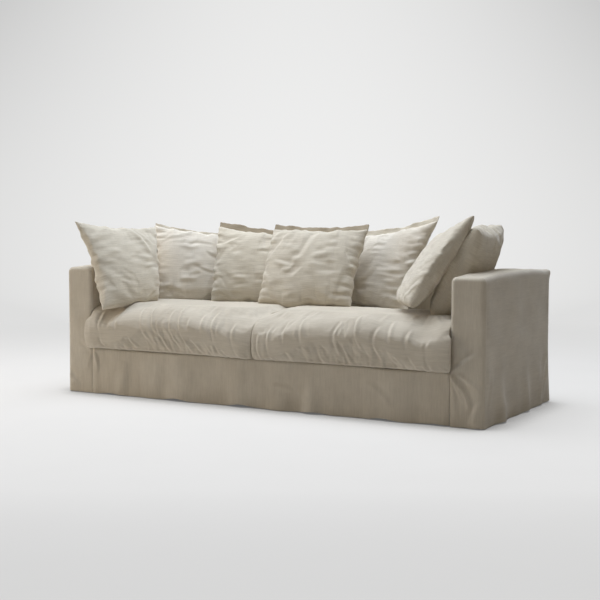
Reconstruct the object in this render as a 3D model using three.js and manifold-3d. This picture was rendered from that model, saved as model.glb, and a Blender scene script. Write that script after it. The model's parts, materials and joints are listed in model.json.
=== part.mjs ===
// A slip-covered linen sofa: level arms and back, two seat cushions and seven scatter pillows.
// Millimetres, +Z up, the front towards -Y, the origin on the floor under the middle foot.
import * as THREE from 'three';
import { mergeVertices } from 'three/addons/utils/BufferGeometryUtils.js';
import Module from 'manifold-3d';

const wasm = await Module();
wasm.setup();

// Overall sizes
const sofaWidth = 2400;
const sofaDepth = 950;
const sofaHeight = 681;
const armWidth = 167;
const backThickness = 170;
const deckHeight = 250;
const shoulderRadius = 26;
const topCrown = 17;

// Loose cover
const clothThickness = 3;
const hemClearance = 3;
const sideFlare = 15;
const frontFlare = 6;
const hemRipple = 5;

// Padding and boards under the cover, and the gap that pieces keep
const foamThickness = 18;
const panelThickness = 6;
const deckPadThickness = 20;
const clearance = 0.3;

// Timber frame
const railThickness = 32;
const boardThickness = 28;
const postDepth = 45;

// Feet and the cloth under the frame
const footHeight = 90;
const footRadius = 26;
const footTipRadius = 19;
const studRadius = 4;
const studLength = 30;
const cornerFootInset = 110;
const dustClothThickness = 1.5;
const dustClothLap = 12;

// Springs under the seat
const wireThickness = 3.5;
const springWidth = 60;
const springEdgeGap = 44;
const springLap = 12;
const tieWireThickness = 3;
const tieWireOverhang = 15;

// Seat cushions
const seatThickness = 242;
const noseOverhang = 45;
const seatGap = 1.5;
const seatTravel = 800;

// Pillows
const pillowCover = 600;
const pillowThickness = 160;
const pillowLip = 22;
const pillowLift = 500;
const seamHalfThickness = 4;
const pillowGap = 1;

// Cushion covers: cloth wall, seam allowance and zip
const coverWall = 2.5;
const seamAllowance = 16;
const zipHalfWidth = 1.5;
const cutOverrun = 10;

// Counts
const springsPerSeat = 4;
const springBends = 14;
const tieWires = 2;
const pillowCells = 8;
const hollowCells = 4;

// Planes that the pieces share
const halfWidth = sofaWidth / 2;
const frontY = -sofaDepth / 2;
const rearY = sofaDepth / 2;
const armInnerX = halfWidth - armWidth;
const backInnerY = rearY - backThickness;
const seatDepth = backInnerY - frontY;

// Layers, counted inwards from a face of the cover
const clothLayer = clothThickness + clearance;
const foamLayer = clothLayer + foamThickness + clearance;
const panelLayer = foamLayer + panelThickness + clearance;

// Heights in the base
const railBottom = footHeight + clearance;
const padTop = deckHeight - clothLayer;
const padBottom = padTop - deckPadThickness;
const springTop = padBottom - clearance;
const springBottom = springTop - wireThickness;
const railTop = springBottom - clearance;
const frameTop = sofaHeight - foamLayer;
const armBoardBottom = frameTop - boardThickness;

// Finishes
const finish = (colour, roughness, metalness) => ({ color: colour, roughness, metalness });
const linen = finish(0xa89e8e, 0.95, 0);
const paleLinen = finish(0xb3a998, 0.95, 0);
const timber = finish(0xb58f62, 0.7, 0);
const plywood = finish(0xc6a878, 0.75, 0);
const blackWood = finish(0x2e2a26, 0.5, 0);
const foam = finish(0xe7dfc8, 0.9, 0);
const felt = finish(0xd9d5cb, 0.95, 0);
const feather = finish(0xf1eee6, 0.95, 0);
const steel = finish(0x8d9094, 0.35, 0.9);
const blackCloth = finish(0x26262a, 0.95, 0);

const sofa = new THREE.Group();

function addPiece(name, geometry, surface) {
  const mesh = new THREE.Mesh(geometry, new THREE.MeshStandardMaterial(surface));
  mesh.name = name;
  sofa.add(mesh);
  return mesh;
}

const sides = [
  { side: -1, word: 'left' },
  { side: 1, word: 'right' },
];

// Solids from points

function signedVolume(positions, triangles) {
  const point = (i) => new THREE.Vector3().fromArray(positions, 3 * triangles[i]);
  let sum = 0;
  for (let i = 0; i < triangles.length; i += 3) {
    sum += point(i).dot(point(i + 1).cross(point(i + 2)));
  }
  return sum;
}

// An indexed geometry whose faces are turned outwards
function facedGeometry(positions, triangles) {
  const facing = triangles.slice();
  if (signedVolume(positions, triangles) < 0) {
    facing.reverse();
  }
  const geometry = new THREE.BufferGeometry();
  geometry.setAttribute('position', new THREE.Float32BufferAttribute(positions, 3));
  geometry.setIndex(facing);
  return geometry;
}

// Two layers of points on one grid, joined round the rim; pointAt takes shares 0..1 and the layer
function layeredSolid(columns, rows, pointAt) {
  const positions = [];
  const at = (column, row, layer) => (layer * (rows + 1) + row) * (columns + 1) + column;
  for (const layer of [0, 1]) {
    for (let row = 0; row <= rows; row += 1) {
      for (let column = 0; column <= columns; column += 1) {
        positions.push(...pointAt(column / columns, row / rows, layer).toArray());
      }
    }
  }
  const triangles = [];
  const quad = (a, b, c, d) => triangles.push(a, b, c, a, c, d);
  for (let row = 0; row < rows; row += 1) {
    for (let column = 0; column < columns; column += 1) {
      const [east, north] = [column + 1, row + 1];
      quad(at(column, row, 0), at(east, row, 0), at(east, north, 0), at(column, north, 0));
      quad(at(column, row, 1), at(column, north, 1), at(east, north, 1), at(east, row, 1));
    }
    quad(at(0, row, 0), at(0, row + 1, 0), at(0, row + 1, 1), at(0, row, 1));
    quad(at(columns, row + 1, 0), at(columns, row, 0), at(columns, row, 1), at(columns, row + 1, 1));
  }
  for (let column = 0; column < columns; column += 1) {
    quad(at(column, 0, 1), at(column + 1, 0, 1), at(column + 1, 0, 0), at(column, 0, 0));
    quad(at(column, rows, 0), at(column + 1, rows, 0), at(column + 1, rows, 1), at(column, rows, 1));
  }
  return facedGeometry(positions, triangles);
}

// A skin over rings of equally many points, closed at both ends by fans
function ringSolid(rings) {
  const count = rings[0].length;
  const last = rings.length - 1;
  const positions = rings.flat().flatMap((point) => point.toArray());
  const triangles = [];
  for (let ring = 0; ring < last; ring += 1) {
    for (let i = 0; i < count; i += 1) {
      const next = (i + 1) % count;
      const here = ring * count;
      const there = here + count;
      triangles.push(here + i, here + next, there + next);
      triangles.push(here + i, there + next, there + i);
    }
  }
  for (let i = 1; i < count - 1; i += 1) {
    triangles.push(0, i + 1, i);
    triangles.push(last * count, last * count + i, last * count + i + 1);
  }
  return facedGeometry(positions, triangles);
}

// A box between two opposite corners
function boxBetween(low, high) {
  const size = high.clone().sub(low);
  const box = new THREE.BoxGeometry(size.x, size.y, size.z);
  const middle = low.clone().add(high).multiplyScalar(1 / 2);
  return box.translate(middle.x, middle.y, middle.z);
}

const corner = (x, y, z) => new THREE.Vector3(x, y, z);

// A box on one side of the sofa: near and far are distances from the middle plane
function sideBox(side, near, far, lowY, highY, lowZ, highZ) {
  const low = corner(Math.min(side * near, side * far), lowY, lowZ);
  const high = corner(Math.max(side * near, side * far), highY, highZ);
  return boxBetween(low, high);
}

// Joining and cutting

function toSolid(geometry) {
  const bare = geometry.clone();
  bare.deleteAttribute('normal');
  bare.deleteAttribute('uv');
  const merged = mergeVertices(bare);
  return new wasm.Manifold(new wasm.Mesh({
    numProp: 3,
    vertProperties: new Float32Array(merged.attributes.position.array),
    triVerts: new Uint32Array(merged.index.array),
  }));
}

function toGeometry(solid) {
  const mesh = solid.getMesh();
  const geometry = new THREE.BufferGeometry();
  geometry.setAttribute('position', new THREE.Float32BufferAttribute(mesh.vertProperties, 3));
  geometry.setIndex(Array.from(mesh.triVerts));
  return geometry;
}

function cut(geometry, ...tools) {
  let solid = toSolid(geometry);
  for (const tool of tools) {
    solid = solid.subtract(toSolid(tool));
  }
  return toGeometry(solid);
}

function join(...geometries) {
  let solid = toSolid(geometries[0]);
  for (const geometry of geometries.slice(1)) {
    solid = solid.add(toSolid(geometry));
  }
  return toGeometry(solid);
}

// Feet, each screwed into the frame by a stud

const footPlaces = [
  { word: 'front_left', x: cornerFootInset - halfWidth, y: frontY + cornerFootInset },
  { word: 'front_right', x: halfWidth - cornerFootInset, y: frontY + cornerFootInset },
  { word: 'rear_left', x: cornerFootInset - halfWidth, y: rearY - cornerFootInset },
  { word: 'rear_right', x: halfWidth - cornerFootInset, y: rearY - cornerFootInset },
  { word: 'middle', x: 0, y: 0 },
];
const footSides = 12;
const studSides = 8;

function upright(radius, low, high, sideCount) {
  const post = new THREE.CylinderGeometry(radius, radius, high - low, sideCount);
  return post.rotateX(Math.PI / 2).translate(0, 0, (low + high) / 2);
}

function addFeet() {
  const profile = [
    new THREE.Vector2(0, 0),
    new THREE.Vector2(footTipRadius, 0),
    new THREE.Vector2(footRadius, footHeight),
    new THREE.Vector2(studRadius, footHeight),
    new THREE.Vector2(studRadius, footHeight + studLength),
    new THREE.Vector2(0, footHeight + studLength),
  ];
  for (const place of footPlaces) {
    const foot = new THREE.LatheGeometry(profile, footSides).rotateX(Math.PI / 2);
    addPiece(`foot_${place.word}`, foot.translate(place.x, place.y, 0), blackWood);
  }
}

// The hole that takes a foot's stud
function studHole(place) {
  const top = railBottom + studLength + clearance;
  const hole = upright(studRadius + clearance, railBottom - cutOverrun, top, studSides);
  return hole.translate(place.x, place.y, 0);
}

// Base of the frame

const timberInnerX = armInnerX + panelLayer;
const timberOuterX = halfWidth - panelLayer;
const timberFrontY = frontY + foamLayer;
const timberRearY = rearY - panelLayer;
const sideRailInnerX = halfWidth - cornerFootInset - railThickness / 2;
const sideRailOuterX = sideRailInnerX + railThickness;
const railsFrontY = timberFrontY + railThickness;
const railsRearY = timberRearY - railThickness;

function addBase() {
  const front = boxBetween(
    corner(-timberOuterX, timberFrontY, railBottom),
    corner(timberOuterX, railsFrontY, railTop),
  );
  addPiece('base_rail_front', front, timber);
  const rear = boxBetween(
    corner(-timberOuterX, railsRearY, railBottom),
    corner(timberOuterX, timberRearY, railTop),
  );
  addPiece('base_rail_rear', rear, timber);
  const lowY = railsFrontY + clearance;
  const highY = railsRearY - clearance;
  for (const { side, word } of sides) {
    const rail = sideBox(side, sideRailInnerX, sideRailOuterX, lowY, highY, railBottom, railTop);
    const holes = footPlaces.filter((place) => place.x * side > 0).map(studHole);
    addPiece(`base_rail_${word}`, cut(rail, ...holes), timber);
  }
  const brace = boxBetween(
    corner(-railThickness / 2, lowY, railBottom),
    corner(railThickness / 2, highY, railTop),
  );
  const holes = footPlaces.filter((place) => place.x === 0).map(studHole);
  addPiece('base_brace_middle', cut(brace, ...holes), timber);
}

function addDustCloth() {
  const top = railBottom - clearance;
  const cloth = boxBetween(
    corner(-timberOuterX, railsFrontY - dustClothLap, top - dustClothThickness),
    corner(timberOuterX, railsRearY + dustClothLap, top),
  );
  const holes = footPlaces.map((place) => {
    const hole = upright(footRadius + clearance, top - cutOverrun, top + cutOverrun, footSides);
    return hole.translate(place.x, place.y, 0);
  });
  addPiece('dust_cloth', cut(cloth, ...holes), blackCloth);
}

// Arms and back of the frame

function addArmFrame({ side, word }) {
  const standing = railTop + clearance;
  const postTop = armBoardBottom - clearance;
  const posts = [
    { place: 'front', postY: timberFrontY },
    { place: 'rear', postY: timberRearY - postDepth },
  ];
  for (const { place, postY } of posts) {
    const post = sideBox(side, timberInnerX, timberOuterX, postY, postY + postDepth, standing, postTop);
    addPiece(`arm_post_${place}_${word}`, post, timber);
  }
  const [lowY, highY] = [timberFrontY, timberRearY];
  const board = sideBox(side, timberInnerX, timberOuterX, lowY, highY, armBoardBottom, frameTop);
  addPiece(`arm_top_board_${word}`, board, timber);
  const innerFar = timberInnerX - clearance;
  const innerNear = innerFar - panelThickness;
  const inner = sideBox(side, innerNear, innerFar, lowY, highY, standing, frameTop);
  addPiece(`arm_panel_inner_${word}`, inner, plywood);
  const outerNear = timberOuterX + clearance;
  const outerFar = outerNear + panelThickness;
  const outer = sideBox(side, outerNear, outerFar, lowY, highY, railBottom, frameTop);
  addPiece(`arm_panel_outer_${word}`, outer, plywood);
}

const betweenArmsX = timberInnerX - clearance - panelThickness - clearance;
const backTimberFrontY = backInnerY + panelLayer;

function addBackFrame() {
  const standing = railTop + clearance;
  const board = boxBetween(
    corner(-betweenArmsX, backTimberFrontY, armBoardBottom),
    corner(betweenArmsX, timberRearY, frameTop),
  );
  addPiece('back_top_board', board, timber);
  const post = boxBetween(
    corner(-boardThickness / 2, backTimberFrontY, standing),
    corner(boardThickness / 2, timberRearY, armBoardBottom - clearance),
  );
  addPiece('back_post_middle', post, timber);
  const innerRear = backTimberFrontY - clearance;
  const inner = boxBetween(
    corner(-betweenArmsX, innerRear - panelThickness, springTop + clearance),
    corner(betweenArmsX, innerRear, frameTop),
  );
  addPiece('back_panel_inner', inner, plywood);
  const outerFront = timberRearY + clearance;
  const outer = boxBetween(
    corner(-timberOuterX, outerFront, railBottom),
    corner(timberOuterX, outerFront + panelThickness, frameTop),
  );
  addPiece('back_panel_outer', outer, plywood);
}

// Springs: zigzag wires from the front rail to the rear one, tied by straight wires across them

// A zigzag of equal height all along, as two layers one wire apart
function zigzagSpring(centreX, lowY, highY) {
  const half = wireThickness / 2;
  const steps = 2 * springBends;
  const middleAt = (share) => {
    const sway = Math.sin(Math.PI * springBends * share);
    return corner(centreX + (springWidth / 2) * sway, THREE.MathUtils.lerp(lowY, highY, share), 0);
  };
  return layeredSolid(steps, 1, (along, across, layer) => {
    const step = 1 / steps;
    const before = middleAt(Math.max(along - step, 0));
    const after = middleAt(Math.min(along + step, 1));
    const direction = after.sub(before).normalize();
    const sideways = corner(-direction.y, direction.x, 0).multiplyScalar(half * (2 * across - 1));
    const point = middleAt(along).add(sideways);
    return point.setZ(layer === 0 ? springTop : springBottom);
  });
}

// A straight wire of square section between two points of one height, across the sofa
function squareWire(start, end, half) {
  const low = start.clone().min(end).sub(corner(0, half, half));
  const high = start.clone().max(end).add(corner(0, half, half));
  return boxBetween(low, high);
}

function addSprings() {
  const lowY = timberFrontY + springLap;
  const highY = timberRearY - springLap;
  const nearX = railThickness;
  const farX = armInnerX - springEdgeGap;
  for (const { side, word } of sides) {
    const spacing = (farX - nearX) / springsPerSeat;
    const springs = [];
    for (let i = 0; i < springsPerSeat; i += 1) {
      springs.push(zigzagSpring(side * (nearX + spacing * (i + 1 / 2)), lowY, highY));
    }
    const reach = springWidth / 2 + tieWireOverhang;
    const tieNear = nearX + spacing / 2 - reach;
    const tieFar = farX - spacing / 2 + reach;
    const tieMiddle = (springTop + springBottom) / 2;
    for (let i = 1; i <= tieWires; i += 1) {
      const y = THREE.MathUtils.lerp(lowY, highY, i / (tieWires + 1));
      const ends = [corner(side * tieNear, y, tieMiddle), corner(side * tieFar, y, tieMiddle)];
      springs.push(squareWire(ends[0], ends[1], tieWireThickness / 2));
    }
    addPiece(`seat_spring_unit_${word}`, join(...springs), steel);
  }
}

// Padding

const padHalfWidth = armInnerX - clearance;

function addDeckPad() {
  const pad = boxBetween(
    corner(-padHalfWidth, frontY + foamLayer, padBottom),
    corner(padHalfWidth, backInnerY, padTop),
  );
  addPiece('deck_pad', pad, felt);
}

function addFrontFoam() {
  const strip = boxBetween(
    corner(-padHalfWidth, frontY + clothLayer, railBottom),
    corner(padHalfWidth, frontY + foamLayer - clearance, padTop),
  );
  addPiece('front_rail_foam', strip, foam);
}

// The arm's outline, from the foot of its inner face over the top to the foot of its outer one.
// Each point holds its distance from the middle plane, its height and its outward direction.
const shoulderSteps = 3;
const dropSteps = 5;

function armOutline(inset, innerFoot, outerFoot) {
  const radius = shoulderRadius - inset;
  const shoulderZ = sofaHeight - shoulderRadius;
  const nearCentre = armInnerX + shoulderRadius;
  const farCentre = halfWidth - shoulderRadius;
  const points = [{ x: armInnerX + inset, z: innerFoot, outX: -1, outZ: 0, dropShare: 0 }];
  const arc = (centreX, startAngle) => {
    for (let i = 0; i <= shoulderSteps; i += 1) {
      const angle = startAngle - (i / shoulderSteps) * (Math.PI / 2);
      const outX = Math.cos(angle);
      const outZ = Math.sin(angle);
      points.push({ x: centreX + radius * outX, z: shoulderZ + radius * outZ, outX, outZ, dropShare: 0 });
    }
  };
  arc(nearCentre, Math.PI);
  arc(farCentre, Math.PI / 2);
  for (let i = 1; i <= dropSteps; i += 1) {
    const dropShare = i / dropSteps;
    const z = THREE.MathUtils.lerp(shoulderZ, outerFoot, dropShare);
    points.push({ x: halfWidth - inset, z, outX: 1, outZ: 0, dropShare });
  }
  return points;
}

// How much the padding lifts the top of an arm or the back along its length, for a share -1..1
const crownAt = (share) => topCrown * (1 - share * share);
function aboveShoulder(z) {
  const low = sofaHeight - 2 * shoulderRadius;
  return THREE.MathUtils.clamp((z - low) / shoulderRadius, 0, 1);
}

// The way through an arm's inner face for the timber of the back
function backPassage(side) {
  return sideBox(
    side,
    0,
    timberInnerX,
    backInnerY + foamLayer - clearance,
    rearY - foamLayer + clearance,
    0,
    frameTop + clearance,
  );
}

const armSections = 6;

function addArmFoam({ side, word }) {
  const lowY = frontY + clothLayer;
  const highY = rearY - clothLayer;
  const outline = armOutline(clothLayer, railBottom, railBottom);
  const rings = [];
  for (let i = 0; i <= armSections; i += 1) {
    const share = (2 * i) / armSections - 1;
    const y = THREE.MathUtils.lerp(lowY, highY, i / armSections);
    const lift = crownAt(share);
    rings.push(outline.map(({ x, z }) => corner(side * x, y, z + lift * aboveShoulder(z))));
  }
  const hollow = sideBox(
    side,
    armInnerX + foamLayer - clearance,
    halfWidth - foamLayer + clearance,
    lowY + foamThickness,
    highY - foamThickness,
    railBottom - cutOverrun,
    frameTop + clearance,
  );
  const rails = sideBox(
    side,
    armInnerX,
    timberOuterX + clearance,
    lowY + foamThickness,
    highY - foamThickness,
    0,
    railTop + clearance,
  );
  addPiece(`arm_foam_${word}`, cut(ringSolid(rings), hollow, rails, backPassage(side)), foam);
}

// The back's outline, from the foot of its inner face over its rounded edge to the rear
function backOutline(inset, foot) {
  const radius = shoulderRadius - inset;
  const centreY = backInnerY + shoulderRadius;
  const centreZ = sofaHeight - shoulderRadius;
  const outline = [{ y: backInnerY + inset, z: foot, outY: -1, outZ: 0 }];
  for (let i = 0; i <= shoulderSteps; i += 1) {
    const angle = Math.PI - (i / shoulderSteps) * (Math.PI / 2);
    const outY = Math.cos(angle);
    const outZ = Math.sin(angle);
    outline.push({ y: centreY + radius * outY, z: centreZ + radius * outZ, outY, outZ });
  }
  outline.push({ y: rearY - clothLayer, z: sofaHeight - inset, outY: 0, outZ: 1 });
  return outline;
}

function addBackFoam() {
  const low = springTop + clearance;
  const section = backOutline(clothLayer, low);
  section.push({ y: rearY - clothLayer, z: low });
  const rings = [-padHalfWidth, padHalfWidth].map((x) => section.map(({ y, z }) => corner(x, y, z)));
  const hollow = boxBetween(
    corner(-halfWidth, backInnerY + clothLayer + foamThickness, 0),
    corner(halfWidth, rearY - clothLayer - foamThickness, frameTop + clearance),
  );
  addPiece('back_foam', cut(ringSolid(rings), hollow), foam);
}

// Loose cover. Its lower edge stands out in folds, which die away towards the seams.

// A fold's share 0..1 at a place along a panel, with a whole number of folds between the seams
const foldShare = (share, folds) => (1 - Math.cos(2 * Math.PI * folds * share)) / 2;
// The hem's height: it rises a little between the folds
const hemAt = (share, folds) => hemClearance + hemRipple * foldShare(share, folds);

const sideFolds = 3;
const frontFolds = 5;
const rearFolds = 4;
const sideColumns = 4 * sideFolds;

function addArmCover({ side, word }) {
  const lowY = frontY + clothLayer;
  const highY = rearY - clothLayer;
  const innerFoot = deckHeight - clothThickness;
  const outline = armOutline(0, innerFoot, hemClearance);
  const rows = outline.length - 1;
  const sheet = layeredSolid(sideColumns, rows, (along, down, layer) => {
    const { x, z, outX, outZ, dropShare } = outline[Math.round(down * rows)];
    const inset = layer === 0 ? 0 : clothThickness;
    const flare = sideFlare * dropShare * dropShare * foldShare(along, sideFolds);
    const lift = crownAt(2 * along - 1) * aboveShoulder(z);
    const rise = dropShare * (hemAt(along, sideFolds) - hemClearance);
    return corner(
      side * (x + flare - inset * outX),
      THREE.MathUtils.lerp(lowY, highY, along),
      z + lift + rise - inset * outZ,
    );
  });
  addPiece(`cover_arm_${word}`, cut(sheet, backPassage(side)), linen);
}

// The half width of an arm's end at a height, narrowed by its rounded shoulders
function armEndHalfWidth(z) {
  const over = Math.max(z - (sofaHeight - shoulderRadius), 0);
  return armWidth / 2 - shoulderRadius + Math.sqrt(Math.max(shoulderRadius ** 2 - over ** 2, 0));
}

const armEndColumns = 4;
const armEndLevelShares = [0, 0.08, 0.22, 0.36, 0.6, 0.85];
const shoulderLevelShares = [0, 0.5, 0.87, 1];

function addArmFront({ side, word }) {
  const straight = sofaHeight - shoulderRadius - hemClearance;
  const levels = armEndLevelShares.map((share) => hemClearance + share * straight);
  levels.push(...shoulderLevelShares.map((share) => sofaHeight - shoulderRadius * (1 - share)));
  const rows = levels.length - 1;
  const middleX = (armInnerX + halfWidth) / 2;
  const sheet = layeredSolid(armEndColumns, rows, (across, up, layer) => {
    const z = levels[Math.round(up * rows)];
    const dropShare = THREE.MathUtils.clamp(1 - (z - hemClearance) / deckHeight, 0, 1);
    const flare = frontFlare * dropShare * foldShare(across, 1);
    const rise = dropShare * (hemAt(across, 1) - hemClearance);
    return corner(
      side * (middleX + armEndHalfWidth(z) * (2 * across - 1)),
      frontY - flare + layer * clothThickness,
      z + rise,
    );
  });
  addPiece(`cover_arm_front_${word}`, sheet, linen);
}

const skirtRows = 3;

function addFrontSkirt() {
  const columns = 4 * frontFolds;
  const top = deckHeight;
  const sheet = layeredSolid(columns, skirtRows, (across, up, layer) => {
    const dropShare = (1 - up) ** 2;
    return corner(
      padHalfWidth * (2 * across - 1),
      frontY - frontFlare * dropShare * foldShare(across, frontFolds) + layer * clothThickness,
      THREE.MathUtils.lerp(hemAt(across, frontFolds), top, up),
    );
  });
  addPiece('cover_front_skirt', sheet, linen);
}

const rearRows = 4;

function addRearPanel() {
  const columns = 4 * rearFolds;
  const sheet = layeredSolid(columns, rearRows, (across, up, layer) => {
    const dropShare = (1 - up) ** 2;
    return corner(
      halfWidth * (2 * across - 1),
      rearY + sideFlare * dropShare * foldShare(across, rearFolds) - layer * clothThickness,
      THREE.MathUtils.lerp(hemAt(across, rearFolds), sofaHeight - shoulderRadius, up),
    );
  });
  addPiece('cover_rear_panel', sheet, linen);
}

// The cloth over the inner face and the top of the back, between the arms
function addBackCover() {
  const outline = backOutline(0, deckHeight - clothThickness);
  const rows = outline.length - 1;
  const sheet = layeredSolid(1, rows, (across, along, layer) => {
    const { y, z, outY, outZ } = outline[Math.round(along * rows)];
    const inset = layer * clothThickness;
    return corner(padHalfWidth * (2 * across - 1), y - inset * outY, z - inset * outZ);
  });
  addPiece('cover_back', sheet, linen);
}

function addDeckCloth() {
  const cloth = boxBetween(
    corner(-padHalfWidth, frontY + clothLayer, deckHeight - clothThickness),
    corner(padHalfWidth, backInnerY - clearance, deckHeight),
  );
  addPiece('cover_deck', cloth, linen);
}

// Seat cushions: the section from front to rear as shares of the depth and of the thickness
const seatSectionShares = [
  [0.035, 0],
  [0.008, 0.1],
  [0, 0.3],
  [0.006, 0.55],
  [0.035, 0.75],
  [0.1, 0.89],
  [0.2, 0.97],
  [0.33, 1],
  [0.5, 0.975],
  [0.68, 0.9],
  [0.85, 0.79],
  [0.95, 0.69],
  [0.99, 0.5],
  [1, 0.25],
  [0.985, 0],
];
const seatSections = 12;
const hollowSections = 6;
const seatEndSagShare = 0.15;
const seatEndDrawShare = 0.04;
const seatZipShare = 0.5;
const zipHeightShare = 0.25;
const zipDepthShare = 0.12;
const cushionWidth = armInnerX - seatGap - seatGap / 2;
const cushionDepth = noseOverhang + seatDepth - seatGap;
const cushionMiddleX = seatGap / 2 + cushionWidth / 2;

// Rings across one cushion, drawn in by an inset; the top sags and the nose draws in towards the ends
function seatRings(side, sections, inset) {
  const halfLength = cushionWidth / 2 - inset;
  const noseY = frontY - noseOverhang;
  const rings = [];
  for (let i = 0; i <= sections; i += 1) {
    const share = (2 * i) / sections - 1;
    const sag = 1 - seatEndSagShare * share ** 4;
    const draw = cushionDepth * seatEndDrawShare * share ** 6;
    const depth = cushionDepth - 2 * inset - draw;
    const thickness = seatThickness * sag - 2 * inset;
    const x = side * cushionMiddleX + halfLength * share;
    rings.push(seatSectionShares.map(([depthShare, heightShare]) => corner(
      x,
      noseY + inset + draw + depth * depthShare,
      deckHeight + clearance + inset + thickness * heightShare,
    )));
  }
  return rings;
}

function addSeatCushions() {
  for (const { side, word } of sides) {
    const middleX = side * cushionMiddleX;
    const zipHalfLength = (cushionWidth * seatZipShare) / 2;
    const zipZ = deckHeight + seatThickness * zipHeightShare;
    const rearEnd = backInnerY - seatGap;
    const zip = boxBetween(
      corner(middleX - zipHalfLength, rearEnd - cushionDepth * zipDepthShare, zipZ - zipHalfWidth),
      corner(middleX + zipHalfLength, rearEnd + cutOverrun, zipZ + zipHalfWidth),
    );
    const hollow = ringSolid(seatRings(side, hollowSections, coverWall));
    const shell = cut(ringSolid(seatRings(side, seatSections, 0)), hollow, zip);
    addPiece(`seat_cushion_cover_${word}`, shell, linen);
    const fill = ringSolid(seatRings(side, hollowSections, coverWall + clearance));
    addPiece(`seat_cushion_fill_${word}`, fill, foam);
  }
}

// Pillows. Each stands on its lower edge; its own X runs along that edge, its Z up its height.

const pillowWidthShare = 0.95;
const drawnSideShare = 0.07;
const drawnTopShare = 0.05;
const edgeCrowdShare = 0.35;
const pillowZipShare = 0.5;
const crownPower = 0.5;

// A grid share 0..1 spread to -1..1, with its lines closer near the edges
function spread(share) {
  const even = 2 * share - 1;
  return THREE.MathUtils.lerp(even, Math.sin((Math.PI / 2) * even), edgeCrowdShare);
}

function pillowSolid({ standingShare, fullShare }, cells, inset, wall, seamHalf, lip) {
  const halfSide = (pillowCover * pillowWidthShare) / 2 - inset;
  const standing = pillowCover * standingShare;
  const halfHeight = standing / 2 - inset;
  const fullHalf = (pillowThickness * fullShare) / 2 - wall;
  const lipRows = lip > 0 ? 1 : 0;
  const rows = cells + lipRows;
  return layeredSolid(cells, rows, (across, up, layer) => {
    const row = Math.round(up * rows);
    const u = spread(across);
    const v = spread(Math.min(row / cells, 1));
    const crown = Math.max((1 - u * u) * (1 - v * v), 0) ** crownPower;
    const half = THREE.MathUtils.lerp(seamHalf, fullHalf, crown);
    const beyond = row > cells ? lip : 0;
    return corner(
      halfSide * u * (1 - drawnSideShare * (1 - v * v)),
      layer === 0 ? -half : half,
      standing / 2 + halfHeight * (v - Math.max(v, 0) * drawnTopShare * (1 - u * u)) + beyond,
    );
  });
}

// How the pillows stand, with their angles in degrees: turn faces a pillow to the left, lean tips it
// back and roll tips it over to its left. Its place is a share of the half width between the arms and
// of the seat's depth, and it then moves until it just clears what it leans on. Its fullShare is how
// much of a free pillow's thickness it keeps between its neighbours.
const pillows = [
  {
    number: 2, acrossShare: -0.651, depthShare: 0.727, standingShare: 0.792, lipShare: 0.5,
    turn: -28, lean: 20, roll: -2, fullShare: 1,
    rests: [['back', 0, -1]], clears: [],
  },
  {
    number: 3, acrossShare: -0.31, depthShare: 0.689, standingShare: 0.808, lipShare: 1,
    turn: -9, lean: 22, roll: -2, fullShare: 1,
    rests: [['pillow_2', 0, -1]], clears: [['back', 0, -1]],
  },
  {
    number: 5, acrossShare: 0.305, depthShare: 0.782, standingShare: 0.825, lipShare: 1,
    turn: 9, lean: 19, roll: 6, fullShare: 1,
    rests: [['back', 0, -1]], clears: [],
  },
  {
    number: 4, acrossShare: 0.048, depthShare: 0.499, standingShare: 0.79, lipShare: 1,
    turn: -2, lean: 26, roll: 0, fullShare: 1,
    rests: [['pillow_3', 0, -1]], clears: [['pillow_5', 0, -1]],
  },
  {
    number: 7, acrossShare: 0.79, depthShare: 0.529, standingShare: 0.808, lipShare: 0.3,
    turn: 81, lean: 29, roll: 0, fullShare: 0.85,
    rests: [['arm_right', -1, 0]], clears: [['back', 0, -1]],
  },
  {
    number: 6, acrossShare: 0.65, depthShare: 0.36, standingShare: 0.875, lipShare: 0.3,
    turn: 58, lean: 30, roll: 0, fullShare: 0.85,
    rests: [['pillow_7', -1, 0]], clears: [['pillow_5', 0, -1], ['pillow_4', 0, -1]],
  },
  {
    number: 1, acrossShare: -0.805, depthShare: 0.315, standingShare: 0.817, lipShare: 0.3,
    turn: -76, lean: 25, roll: 0, fullShare: 1,
    rests: [['arm_left', 1, 0]], clears: [['pillow_2', 0, -1]],
  },
];

function pillowTurn({ turn, lean, roll }) {
  const radians = THREE.MathUtils.degToRad;
  return new THREE.Euler(-radians(lean), radians(roll), -radians(turn), 'ZXY');
}

function pointsOf(geometry) {
  const places = geometry.attributes.position;
  const pointAt = (_, i) => new THREE.Vector3().fromBufferAttribute(places, i);
  return Array.from({ length: places.count }, pointAt);
}

// The least move along a direction that sets the hull of some points a gap clear of another hull.
// Every tilt of the parting plane gives a move that is enough, and a search keeps the smallest.
function moveToClear(points, obstacle, direction, gap) {
  const first = Math.abs(direction.z) > 1 / 2 ? corner(1, 0, 0) : corner(0, 0, 1);
  const second = direction.clone().cross(first);
  const moveFor = (a, b) => {
    const normal = direction.clone().addScaledVector(first, a).addScaledVector(second, b);
    let far = -Infinity;
    let near = Infinity;
    for (const point of obstacle) {
      far = Math.max(far, point.dot(normal));
    }
    for (const point of points) {
      near = Math.min(near, point.dot(normal));
    }
    return far - near + gap * normal.length();
  };
  const best = { a: 0, b: 0, move: moveFor(0, 0) };
  const rays = 16;
  let step = 1;
  let turnNow = 0;
  for (let round = 0; round < 90; round += 1) {
    let found = false;
    for (let ray = 0; ray < rays; ray += 1) {
      const angle = turnNow + (2 * Math.PI * ray) / rays;
      const a = best.a + step * Math.cos(angle);
      const b = best.b + step * Math.sin(angle);
      const move = moveFor(a, b);
      if (move < best.move) {
        Object.assign(best, { a, b, move });
        found = true;
      }
    }
    turnNow += 1;
    step *= found ? 1 : 2 / 3;
  }
  return best.move;
}

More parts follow.
